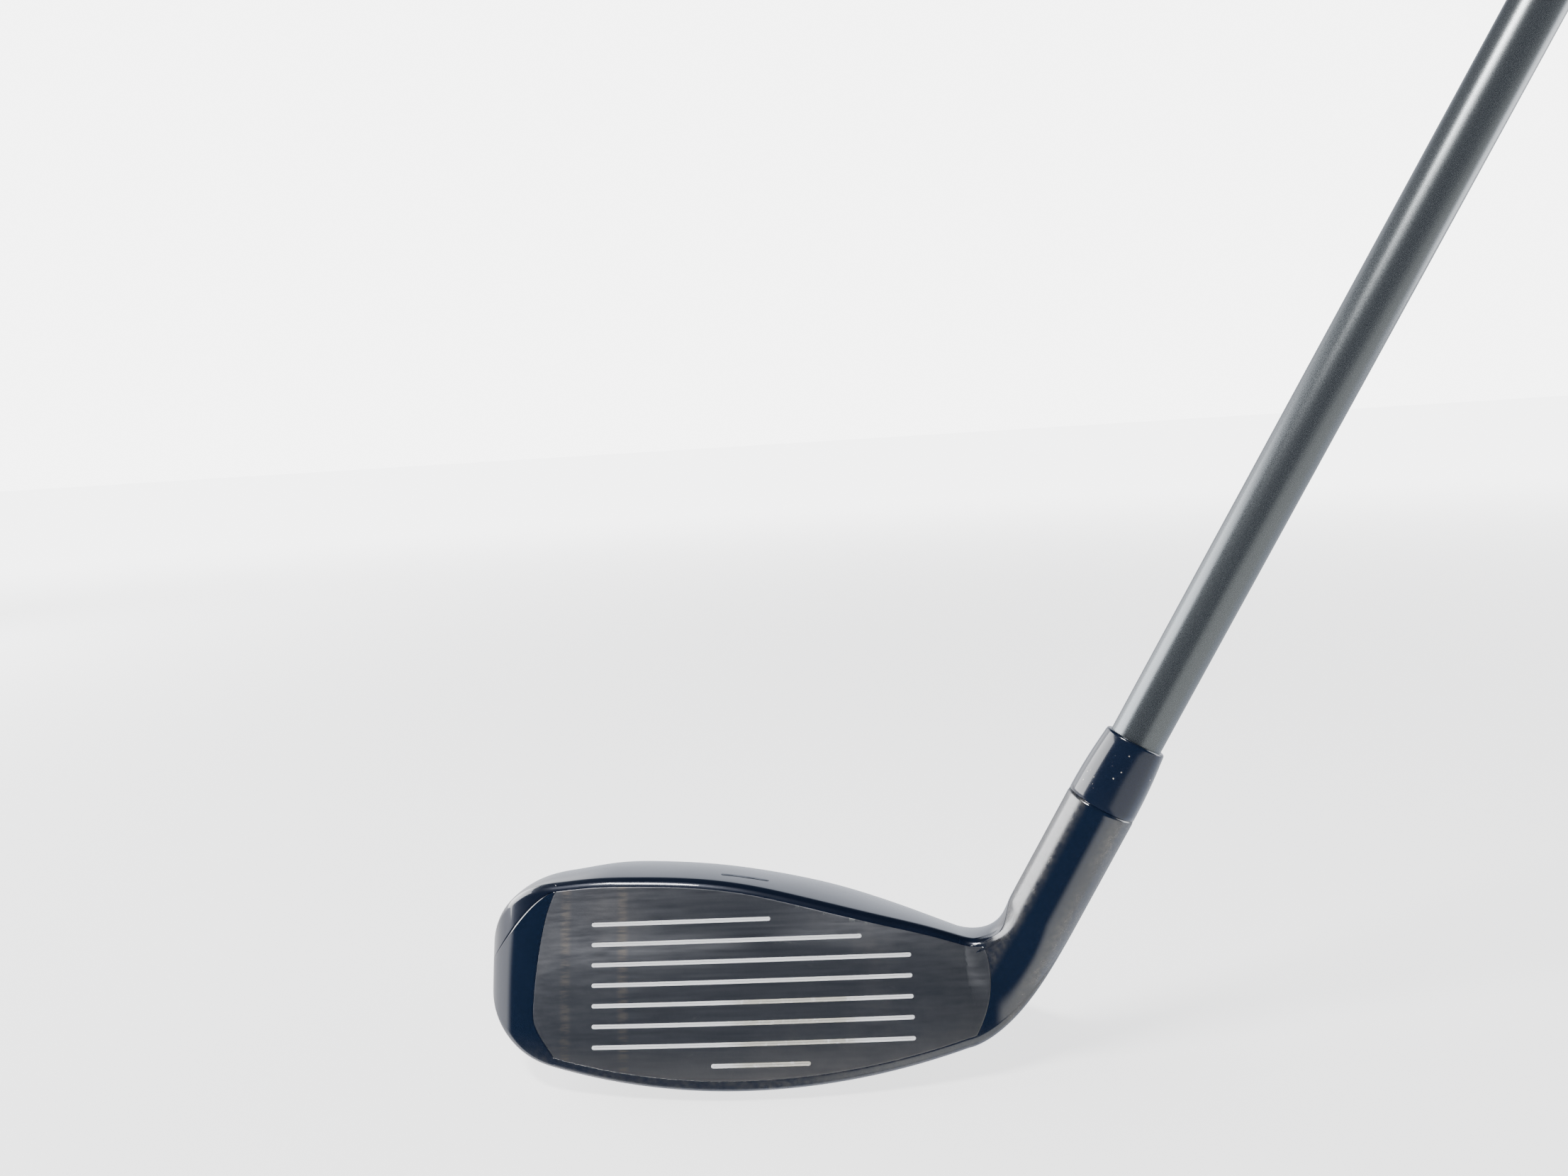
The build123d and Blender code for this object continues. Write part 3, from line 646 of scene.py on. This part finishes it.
def face_steel():
    """Dark steel brushed from toe to heel, lighter low down as a painted reflection of the bright floor, with
    wear, warm streaks, scuffs and chips.
    """
    n = Nodes("dark_brushed_face_steel")
    n.set(Metallic=0.91, IOR=2.2, Anisotropic=0.45)
    fine = n.noise(n.mapped((45, 1400, 1400)), 1.0, 3.0, 0.6)
    broad = n.noise(n.mapped((12, 300, 300)), 1.0, 2.0)
    scuff = n.noise(n.mapped((160, 900, 260), (0, radians(28), 0)), 1.0, 4.0, 0.7)
    wear = n.noise(n.coords, 38.0, 5.0)
    # lighter towards the bottom of the face: painted reflection of the bright floor
    low = n.span(n.axis("Z"), 0.0115, 0.0035)
    heel = n.span(n.axis("X"), 0.030, 0.042)
    colour = n.mix(fine, (0.17, 0.175, 0.20), (0.27, 0.275, 0.295))
    colour = n.mix(n.span(wear, 0.52, 0.8), colour, (0.32, 0.31, 0.31))
    colour = n.mix(n.math("MULTIPLY", low, 0.6), colour, (0.50, 0.475, 0.45))
    colour = n.mix(n.math("MULTIPLY", heel, 0.20), colour, (0.13, 0.128, 0.125))
    for x in (-0.0345, -0.0235):
        away = n.math("ABSOLUTE", n.math("SUBTRACT", n.axis("X"), x), 0.0)
        band = n.span(away, 0.0014, 0.0002)
        streak = n.math("MULTIPLY", n.math("MULTIPLY", band, n.span(fine, 0.35, 0.65)), 0.35)
        colour = n.mix(streak, colour, (0.55, 0.46, 0.36))
    colour = n.mix(n.math("MULTIPLY", n.span(scuff, 0.66, 0.74), 0.45), colour, (0.36, 0.36, 0.36))
    slope = n.math("ADD", n.axis("Z"), n.math("MULTIPLY", n.axis("X"), 0.25))
    chipped = n.math("MULTIPLY", n.span(n.axis("X"), 0.008, 0.010), n.span(n.axis("X"), 0.023, 0.020))
    chipped = n.math("MULTIPLY", chipped, n.span(slope, 0.0335, 0.0350))
    chips = n.noise(n.mapped((500, 500, 260)), 1.0, 5.0, 0.7)
    colour = n.mix(n.math("MULTIPLY", chipped, n.span(chips, 0.56, 0.60)), colour, (0.75, 0.77, 0.72))
    n.to(colour, "Base Color")
    mixed = n.math("ADD", n.math("MULTIPLY", fine, 0.6), n.math("MULTIPLY", wear, 0.4))
    n.to(n.ramp(mixed, [(0.3, 0.30), (0.7, 0.46)]), "Roughness")
    brushed = n.bump(fine, 0.00003, 0.35)
    n.normal(n.bump(broad, 0.00004, 0.12, brushed))
    return n.material


def cast_steel():
    """Dark navy gloss over the casting, with lighter brown-grey along the hosel's sides and low on the head:
    partly mottled haze, partly painted reflection of the surroundings and the floor.
    """
    n = Nodes("dark_gloss_casting")
    n.set(Metallic=0.0, IOR=2.2)
    mottle = n.noise(n.coords, 900.0, 4.0, 0.6)
    broad = n.noise(n.coords, 160.0, 3.0)
    x_part = n.math("MULTIPLY", n.axis("X"), sin(LIE))
    z_part = n.math("MULTIPLY", n.axis("Z"), cos(LIE))
    across = n.math("SUBTRACT", x_part, z_part)
    middle = AXIS_X * MM * sin(LIE)
    radius = HOSEL_RADIUS * MM
    # bands down the hosel's two sides, where the surroundings reflect: painted reflection with a mottled haze
    right = n.span(across, middle + 0.05 * radius, middle + 0.45 * radius)
    left = n.span(across, middle - 0.50 * radius, middle - 0.75 * radius)
    upright = n.span(n.axis("X"), 0.040, 0.046)
    # low on the head: painted reflection of the floor
    low = n.math("MULTIPLY", n.span(n.axis("Z"), 0.012, 0.003), 0.75)
    haze_and_painted_reflection = n.math("MAXIMUM", n.math("MULTIPLY", n.math("MAXIMUM", right, left), upright), low)
    grain = n.math("MULTIPLY", n.span(mottle, 0.30, 0.72), n.span(broad, 0.15, 0.75))
    colour = n.mix(broad, (0.003, 0.007, 0.018), (0.004, 0.009, 0.023))
    share = n.math("MULTIPLY", haze_and_painted_reflection, n.math("ADD", n.math("MULTIPLY", grain, 0.45), 0.12))
    # lighter brown-grey in these places: partly mottled haze, partly painted reflection
    colour = n.mix(share, colour, (0.10, 0.092, 0.075))
    n.to(colour, "Base Color")
    n.to(n.math("ADD", n.math("MULTIPLY", n.math("MULTIPLY", haze_and_painted_reflection, mottle), 0.32), 0.08), "Roughness")
    n.normal(n.bump(n.math("MULTIPLY", mottle, haze_and_painted_reflection), 0.000006, 0.06))
    return n.material


def line_paint():
    """Matt white paint, cream and dirty in the middle of the lower lines."""
    n = Nodes("score_line_white")
    n.set(Roughness=0.6, Specular_IOR_Level=0.3)
    grime = n.noise(n.coords, 900.0, 4.0)
    middle = n.math("MULTIPLY", n.span(n.axis("X"), -0.006, 0.0), n.span(n.axis("X"), 0.021, 0.016))
    lower = n.span(n.axis("Z"), 0.0215, 0.0175)
    cream = n.math("MULTIPLY", n.math("MULTIPLY", middle, lower), n.span(grime, 0.2, 0.5))
    colour = n.mix(cream, (0.93, 0.94, 0.95), (0.62, 0.60, 0.53))
    colour = n.mix(n.span(grime, 0.68, 0.76), colour, (0.45, 0.44, 0.40))
    n.to(colour, "Base Color")
    n.normal(n.bump(grime, 0.00004, 0.3))
    return n.material


def ferrule_plastic():
    """Polished navy plastic with a few pits, and light warm specks that are painted glints."""
    n = Nodes("navy_polished_plastic")
    n.set(IOR=1.5, Coat_Weight=0.8, Coat_Roughness=0.02)
    specks = n.add("ShaderNodeTexVoronoi")
    specks.inputs["Scale"].default_value = 900.0
    n.link(n.coords, specks.inputs["Vector"])
    cloud = n.noise(n.coords, 120.0, 4.0)
    # light warm specks: painted glints
    painted_glint_specks = n.math("MULTIPLY", n.span(specks.outputs["Distance"], 0.16, 0.08), n.span(cloud, 0.58, 0.64))
    colour = n.mix(cloud, (0.003, 0.007, 0.018), (0.005, 0.010, 0.025))
    colour = n.mix(painted_glint_specks, colour, (0.55, 0.50, 0.42))
    n.to(colour, "Base Color")
    n.to(n.ramp(cloud, [(0.3, 0.14), (0.7, 0.26)]), "Roughness")
    wave = n.noise(n.coords, 260.0, 2.0)
    n.normal(n.bump(wave, 0.00004, 0.3))
    return n.material


def shaft_lacquer():
    """Satin grey lacquer over graphite."""
    n = Nodes("satin_grey_shaft")
    n.set(Metallic=0.85, Coat_Weight=0.15, Coat_Roughness=0.2, IOR=1.5)
    grain = n.noise(n.coords, 5000.0, 2.0)
    cloud = n.noise(n.coords, 25.0, 3.0)
    colour = n.mix(grain, (0.150, 0.165, 0.175), (0.185, 0.200, 0.208))
    colour = n.mix(n.math("MULTIPLY", cloud, 0.4), colour, (0.145, 0.155, 0.17))
    n.to(colour, "Base Color")
    n.to(n.ramp(grain, [(0.3, 0.24), (0.7, 0.32)]), "Roughness")
    n.normal(n.bump(grain, 0.00001, 0.15))
    return n.material


def speckled(name, dark, light, rough, metal=0.0, scale=400.0, depth=0.00003, **extra):
    """A material with fine mottling of two tones, uneven gloss and a light bump."""
    n = Nodes(name)
    n.set(Metallic=metal, **extra)
    fine = n.noise(n.coords, scale, 5.0, 0.6)
    broad = n.noise(n.coords, scale / 12, 3.0)
    colour = n.mix(fine, dark, light)
    n.to(n.mix(n.math("MULTIPLY", broad, 0.3), colour, dark), "Base Color")
    n.to(n.ramp(fine, [(0.25, rough - 0.06), (0.75, rough + 0.08)]), "Roughness")
    n.normal(n.bump(fine, depth, 0.3))
    return n.material


NAVY = navy_paint()
FACE = face_steel()
CAST = cast_steel()
WHITE = line_paint()
FERRULE = ferrule_plastic()
SHAFT = shaft_lacquer()

# name, dark tone, light tone, roughness, metallic, scale and depth of the bump
RUBBER = speckled("matt_black_rubber", (0.010, 0.010, 0.011), (0.022, 0.022, 0.024), 0.72, scale=1500.0)
STEEL = speckled("machined_steel", (0.40, 0.40, 0.41), (0.58, 0.58, 0.60), 0.30, 1.0, 700.0)
ALLOY = speckled("satin_anodised_alloy", (0.42, 0.43, 0.45), (0.56, 0.57, 0.60), 0.34, 1.0, 1200.0)
TUNGSTEN = speckled("sintered_tungsten", (0.16, 0.16, 0.17), (0.30, 0.30, 0.31), 0.52, 1.0, 1800.0)
POLYMER = speckled("black_polymer", (0.014, 0.014, 0.016), (0.030, 0.030, 0.033), 0.40)
GLUE = speckled("amber_hot_melt", (0.62, 0.44, 0.17), (0.80, 0.62, 0.30), 0.28, 0.0, 150.0, 0.0001)
NYLON = speckled("natural_nylon", (0.70, 0.70, 0.65), (0.82, 0.81, 0.77), 0.50)
EPOXY = speckled("cured_epoxy", (0.20, 0.16, 0.10), (0.34, 0.27, 0.16), 0.30)
TAPE = speckled("paper_tape", (0.70, 0.66, 0.54), (0.84, 0.81, 0.71), 0.85, 0.0, 900.0)
DECAL = speckled("dark_decal_band", (0.020, 0.030, 0.055), (0.030, 0.042, 0.072), 0.22, 0.0, 2500.0,
                 0.000005, Coat_Weight=0.5, Coat_Roughness=0.1)
MARK = speckled("grey_blue_inlay", (0.030, 0.040, 0.060), (0.045, 0.058, 0.082), 0.30, 0.3, 800.0)


def finish_piece(made, material, body, slot, *nodes):
    """Material, body and the CAD nodes that the piece stands for; the slot is not used."""
    made.data.materials.clear()
    made.data.materials.append(material)
    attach(made, body)
    if nodes:
        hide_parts(*nodes)


# ---- head ----

def true_face_normals(plate):
    """Gives the outer side of the cut face plate the exact normals of the bulged face."""
    mesh = plate.data
    middle = Vector((FACE_CENTRE - FACE_RADIUS * FACE_OUT) * MM)
    near = 0.25 * MM
    alike = 0.985
    normals = [(0.0, 0.0, 0.0)] * len(mesh.loops)
    for face in mesh.polygons:
        out = face.center - middle
        on_face = abs(out.length - FACE_RADIUS * MM) < near
        if on_face and face.normal.dot(out.normalized()) > alike:
            for loop in face.loop_indices:
                spot = mesh.vertices[mesh.loops[loop].vertex_index].co
                normals[loop] = tuple((spot - middle).normalized())
    mesh.normals_split_custom_set(normals)


def make_face():
    """The face plate with its score lines cut in, and the paint in them."""
    plate = head_piece("face_plate", [(TOE_COLUMN, HEEL_COLUMN, 0, FRONT_END)], 2.0, 0.03)
    rows = [(3 - k) * LINE_PITCH for k in range(7)]
    spans = [(LINE_TOE_X, heel, row) for heel, row in zip(LINE_HEEL_X, rows)]
    spans.append((SHORT_LINE_X[0], SHORT_LINE_X[1], -4 * LINE_PITCH))
    fills = []
    for toe, heel, row in spans:
        cutter, fill = score_line(toe, heel, row)
        cut(plate, cutter)
        fills.append(fill)
    sharpen(plate, 40)
    true_face_normals(plate)
    finish_piece(plate, FACE, "club", "face_steel", "face_cup")
    paint = join(*fills)
    paint.name = "score_line_fill"
    finish_piece(paint, WHITE, "club", "line_paint", "score_line_paint")


def score_line(toe, heel, row):
    """Cutter and paint fill of one score line, both following the face's bulge."""
    half = LINE_WIDTH / 2
    start, end = toe + half, heel - half
    steps = np.linspace(start, end, 24)
    turns = [pi * k / 8 for k in range(1, 8)]
    outline = [(x, row - half) for x in steps]
    outline += [(end + half * sin(a), row - half * cos(a)) for a in turns]
    outline += [(x, row + half) for x in steps[::-1]]
    outline += [(start - half * sin(a), row + half * cos(a)) for a in turns]
    outline = np.array(outline)
    outside = face_spot(outline[:, 0], outline[:, 1])
    core = face_spot(np.clip(outline[:, 0], start, end), np.full(len(outline), row))
    cutter = groove_cutter(outside, core)
    rim = outside - FACE_OUT * PAINT_SINK
    floor = outside - FACE_OUT * (LINE_DEPTH + PAINT_BITE)
    count = len(outline)
    points = np.vstack([floor, rim, core - FACE_OUT * PAINT_HOLLOW])
    faces = [tuple(range(count))[::-1]]
    for k in range(count):
        n = (k + 1) % count
        faces.append((k, n, count + n, count + k))
        faces.append((count + k, count + n, 2 * count + n, 2 * count + k))
    fill = add_mesh("line_fill", points, faces)
    add_weld(fill)
    apply_modifiers(fill)
    return cutter, fill


def groove_cutter(outside, core):
    """Closed cutter over a line's outline, its top and bottom in strips so that they follow the face."""
    count = len(outside)
    down = FACE_OUT * LINE_DEPTH
    levels = [outside - down, outside + FACE_OUT, core + FACE_OUT, core - down]
    faces = []
    for level in range(4):
        for k in range(count):
            n = (k + 1) % count
            low, high = level * count, (level + 1) % 4 * count
            faces.append((low + k, low + n, high + n, high + k))
    made = add_mesh("line_cutter", np.vstack(levels), faces, smooth=False)
    add_weld(made)
    apply_modifiers(made)
    fix_outward(made)
    return made


def fix_outward(made):
    """Turns every face of a closed mesh outwards."""
    work = bmesh.new()
    work.from_mesh(made.data)
    bmesh.ops.recalc_face_normals(work, faces=work.faces)
    work.to_mesh(made.data)
    work.free()


def make_crown():
    crown = head_piece("crown_shell", [(0, TONGUE_COLUMN, FRONT_END, CROWN_END)], 1.3)
    finish_piece(crown, NAVY, "club", "crown_paint", "crown")


def make_body():
    """The casting, with the round pocket in the sole that holds the weight screw's head."""
    rows = GRID.shape[1]
    last = len(STATIONS) - 1
    blocks = [(0, last, CROWN_END, rows), (0, TOE_COLUMN, 0, FRONT_END), (HEEL_COLUMN, last, 0, FRONT_END),
              (TONGUE_COLUMN, last, FRONT_END, CROWN_END)]
    body = head_piece("head_casting", blocks, 1.35)
    low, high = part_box("weight_screw")
    x, y = [(low[k] + high[k]) / 2 / MM for k in range(2)]
    foot, upright = np.array([x, y, 0.0]), (0, 0, 1)
    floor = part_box("weight_washer")[1][2] / MM
    rim = float(low[2]) / MM + 0.6
    radius, below, middle = 6.9, -5.0, 0.001
    bush, outer = 5.0, 8.6
    hollow = [(middle, below), (radius, below), (radius, floor), (middle, floor)]
    pocket = lathe("pocket_cutter", hollow, foot, upright)
    fix_outward(pocket)
    cut(body, pocket)
    wall = [(radius, rim), (radius, floor), (bush, floor), (bush, floor + 7.0), (outer, floor + 8.5),
            (outer, rim + 1.0)]
    join(body, lathe("pocket_wall", wall, foot, upright))
    finish_piece(body, CAST, "club", "painted_steel", "head_body")


# ---- collar, shaft and grip ----

def make_ferrule():
    """Collar with a short straight foot, a slightly bowed taper and a rounded top edge."""
    base, top = HOSEL_TOP, HOSEL_TOP + FERRULE_LENGTH
    wide, narrow = FERRULE_RADII
    bore = SHAFT_RADII[0]
    profile = [(bore, base), (wide - 0.12, base), (wide, base + 0.15), (wide, base + 1.0)]
    for k in range(1, 11):
        t = k / 10
        bow = 0.13 * sin(pi * t)
        profile.append((wide + (narrow - wide) * t ** 1.1 + bow, base + 1.0 + (FERRULE_LENGTH - 1.45) * t))
    profile += [(narrow - 0.06, top - 0.2), (narrow - 0.22, top - 0.05), (narrow - 0.4, top), (bore, top)]
    made = sharpen(lathe("ferrule_collar", profile, AXIS_FOOT, AXIS, 128), 50)
    finish_piece(made, FERRULE, "club", "ferrule_plastic", "ferrule")


def shaft_radius(distance):
    """Radius of the shaft's taper at a distance along the axis."""
    tip, butt = SHAFT_RADII
    return tip + (butt - tip) * (distance - SHAFT_TIP_END) / (SHAFT_BUTT - SHAFT_TIP_END)


def make_shaft():
    """Hollow tube: a straight tip, a taper and a straight butt."""
    (tip, butt), (tip_bore, butt_bore) = SHAFT_RADII, SHAFT_BORES
    profile = [(tip_bore, SHAFT_TIP), (tip, SHAFT_TIP), (tip, SHAFT_TIP_END)]
    steps = SHAFT_TIP_END + (SHAFT_BUTT - SHAFT_TIP_END) * np.linspace(0.1, 1.0, 10)
    profile += [(shaft_radius(distance), distance) for distance in steps]
    profile += [(butt, SHAFT_END), (butt_bore, SHAFT_END), (butt_bore, SHAFT_BUTT), (tip_bore, SHAFT_TIP_END)]
    made = sharpen(lathe("shaft_tube", profile, AXIS_FOOT, AXIS, 128))
    finish_piece(made, SHAFT, "club", "shaft_graphite", "shaft")


def make_grip():
    """Rubber sleeve with a fine diamond pattern, smooth at both ends and in three rings."""
    mouth, butt = GRIP_MOUTH, GRIP_BUTT
    around, along = 240, 420
    ridges, pitch, relief = 28, 1.1, 0.30
    side = np.cross(AXIS, [0.0, 1.0, 0.0])
    other = np.cross(AXIS, side)
    turn = np.linspace(0, 2 * pi, around, endpoint=False)[None, :]
    t = np.linspace(0, 1, along)[:, None]
    distance = mouth + (butt - mouth) * t
    radius = GRIP_RADIUS + GRIP_SWELL * np.clip((distance - mouth - 1.0) / (butt - mouth - 1.0), 0, 1)
    radius = radius - 0.5 * (1 - ease((distance - mouth) / 1.4))
    wave = np.cos(ridges * turn + distance * pitch) * np.cos(ridges * turn - distance * pitch)
    pattern = relief * ease((wave + 0.15) / 0.5)
    patterned = ease((distance - mouth - 12) / 1.5) * (1 - ease((distance - butt + 8) / 1.5))
    for ring in (mouth + 70, mouth + 150, mouth + 220):
        patterned = patterned * ease((abs(distance - ring) - 3.0) / 0.8)
    grooves = sum(0.35 * np.exp(-((distance - mouth - d) / 0.45) ** 2) for d in (3.5, 6.0, 8.5))
    radius = radius - relief * patterned + pattern * patterned - grooves
    spokes = side * np.cos(turn)[..., None] + other * np.sin(turn)[..., None]
    outer = AXIS_FOOT + AXIS * distance[..., None] + spokes * radius[..., None]
    tape = 0.25
    bore = np.where(distance < SHAFT_BUTT, shaft_radius(distance), SHAFT_RADII[1]) + tape
    ends = [0, along - 1]
    inner = AXIS_FOOT + AXIS * distance[ends][..., None] + spokes * bore[ends][..., None]
    points = np.vstack([outer.reshape(-1, 3), inner.reshape(-1, 3)])
    faces = []
    for r in range(along - 1):
        for c in range(around):
            n = (c + 1) % around
            faces.append((r * around + c, r * around + n, (r + 1) * around + n, (r + 1) * around + c))
    last = (along - 1) * around
    low = along * around
    high = low + around
    for c in range(around):
        n = (c + 1) % around
        faces.append((low + c, low + n, n, c))
        faces.append((last + c, last + n, high + n, high + c))
        faces.append((low + n, low + c, high + c, high + n))
    made = sharpen(add_mesh("grip_sleeve", points, faces), 60)
    fix_outward(made)
    finish_piece(made, RUBBER, "club", "grip_rubber", "grip")


def make_cap():
    """Cap with a rounded edge, a shallow ring in its end and the vent in the middle."""
    start, end, wide, vent = GRIP_BUTT, CAP_END, CAP_RADIUS, CAP_VENT
    inside, edge, ring = 7.87, 0.8, 0.25
    profile = [(inside, start), (wide - 0.5, start), (wide, start + 0.6), (wide, end - 1.0)]
    for a in np.linspace(0, pi / 2, 7)[1:]:
        profile.append((wide - edge + edge * cos(a), end - edge + edge * sin(a)))
    profile += [(9.0, end), (8.7, end - ring), (4.2, end - ring), (3.9, end)]
    profile += [(vent + 0.2, end), (vent, end - 0.2), (vent, SHAFT_END), (inside, SHAFT_END)]
    made = sharpen(lathe("grip_end_cap", profile, AXIS_FOOT, AXIS, 128), 40)
    finish_piece(made, RUBBER, "club", "cap_rubber", "grip_cap")


# the CAD pieces that are shown as they are, with their materials
KEPT = {"alignment_mark": MARK, "toe_weight": TUNGSTEN, "heel_weight": TUNGSTEN, "toe_post": POLYMER,
        "heel_post": POLYMER, "sole_ribs": STEEL, "hot_melt": GLUE, "weight_insert": STEEL,
        "weight_washer": NYLON, "weight_screw": ALLOY, "hosel_epoxy": EPOXY, "tip_plug": POLYMER,
        "shaft_decal": DECAL, "grip_tape": TAPE}


def dress_kept_nodes():
    for name, material in KEPT.items():
        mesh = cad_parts[name].data
        mesh.materials.clear()
        mesh.materials.append(material)


# ---- studio ----

def floor_material():
    """Pale matt floor, lit from within so that it keeps its brightness out to the horizon."""
    n = Nodes("pale_floor")
    n.set(Roughness=0.85, Specular_IOR_Level=0.2)
    grain = n.noise(n.coords, 60.0, 3.0)
    n.to(n.mix(grain, (0.80, 0.80, 0.80), (0.83, 0.83, 0.83)), "Base Color")
    away = n.add("ShaderNodeVectorMath", operation="LENGTH")
    n.link(n.coords, away.inputs[0])
    far = n.span(away.outputs["Value"], 0.25, 2.0)
    n.to(n.mix(far, (0.40, 0.40, 0.40), (1.0, 1.0, 1.0)), "Emission Color")
    n.set(Emission_Strength=5.0)
    return n.material


def make_floor():
    size, level = 30000.0, -0.05
    corners = [(-size, -size, level), (size, -size, level), (size, size, level), (-size, size, level)]
    floor = add_mesh("floor", corners, [(0, 1, 2, 3)], smooth=False)
    floor.data.materials.append(floor_material())
    floor.visible_glossy = False


def make_world():
    """Studio light by direction, while the camera itself sees plain white.

    It's dark in front and overhead, light behind and low at the right, and brightest high at the back
    left."""
    world = bpy.data.worlds.new("studio")
    world.use_nodes = True
    bpy.context.scene.world = world
    tree = world.node_tree
    background = tree.nodes["Background"]
    coords = tree.nodes.new("ShaderNodeTexCoord")
    split = tree.nodes.new("ShaderNodeSeparateXYZ")
    link = tree.links.new
    link(coords.outputs["Generated"], split.inputs["Vector"])

    def fade(output, low, high):
        node = tree.nodes.new("ShaderNodeMapRange")
        node.interpolation_type = "SMOOTHSTEP"
        node.inputs["From Min"].default_value = low
        node.inputs["From Max"].default_value = high
        link(split.outputs[output], node.inputs["Value"])
        return node.outputs["Result"]

    def times(first, second):
        node = tree.nodes.new("ShaderNodeMath")
        node.operation = "MULTIPLY"
        link(first, node.inputs[0])
        link(second, node.inputs[1])
        return node.outputs["Value"]

    def blend(share, first, second):
        node = tree.nodes.new("ShaderNodeMix")
        node.data_type = "RGBA"
        sockets = node.inputs["Factor"], node.inputs[6], node.inputs[7]
        for socket, value in zip(sockets, (share, first, second)):
            if isinstance(value, tuple):
                socket.default_value = (*value, 1.0)
            else:
                link(value, socket)
        return node.outputs[2]

    low_right = times(fade("X", -0.05, 0.30), fade("Z", 0.0, -0.18))
    side = blend(low_right, (0.030, 0.048, 0.085), (0.85, 0.85, 0.82))
    rear = blend(fade("X", -0.20, -0.45), (0.85, 0.90, 1.0), (1.3, 1.3, 1.35))
    high_left = times(fade("X", -0.20, -0.45), fade("Z", 0.02, 0.14))
    rear = blend(high_left, rear, (2.4, 2.45, 2.55))
    around = blend(fade("Y", -0.20, 0.02), side, rear)
    colour = blend(fade("Z", 0.35, 0.65), around, (0.03, 0.045, 0.08))
    path = tree.nodes.new("ShaderNodeLightPath")
    link(blend(path.outputs["Is Camera Ray"], colour, (6.0, 6.0, 6.0)), background.inputs["Color"])


def add_area(name, place, target, size, watts, colour=(1, 1, 1)):
    data = bpy.data.lights.new(name, "AREA")
    data.shape = "RECTANGLE"
    data.size, data.size_y = size
    data.energy = watts
    data.color = colour
    light = bpy.data.objects.new(name, data)
    light.location = place
    light.visible_camera = False
    light.rotation_euler = (Vector(target) - Vector(place)).to_track_quat("-Z", "Y").to_euler()
    bpy.context.collection.objects.link(light)


def make_lights():
    target = (0.02, 0.0, 0.03)
    add_area("left_softbox", (-0.85, 0.32, 0.40), target, (0.9, 0.6), 10.0)
    add_area("overhead_softbox", (-0.30, -0.36, 0.90), target, (0.30, 0.12), 9.0, (1.0, 0.985, 0.96))
    add_area("right_softbox", (0.95, 0.25, 0.25), target, (0.5, 0.7), 4.0)


def make_camera():
    data = bpy.data.cameras.new("camera")
    data.sensor_width = 36.0
    data.lens = 29.29
    data.clip_start = 0.01
    camera = bpy.data.objects.new("camera", data)
    forward = Vector((-0.0667, 0.9910, -0.1161)).normalized()
    right = Vector((0.9963, 0.0599, -0.0610)).normalized()
    up = right.cross(forward).normalized()
    right = forward.cross(up)
    turn = Matrix((right, up, -forward)).transposed().to_4x4()
    camera.matrix_world = Matrix.Translation(Vector((25.4, -230.8, 117.16)) * MM) @ turn
    bpy.context.collection.objects.link(camera)
    bpy.context.scene.camera = camera


make_camera()
make_world()
make_lights()
make_floor()
make_face()
make_crown()
make_body()
make_ferrule()
make_shaft()
make_grip()
make_cap()
dress_kept_nodes()
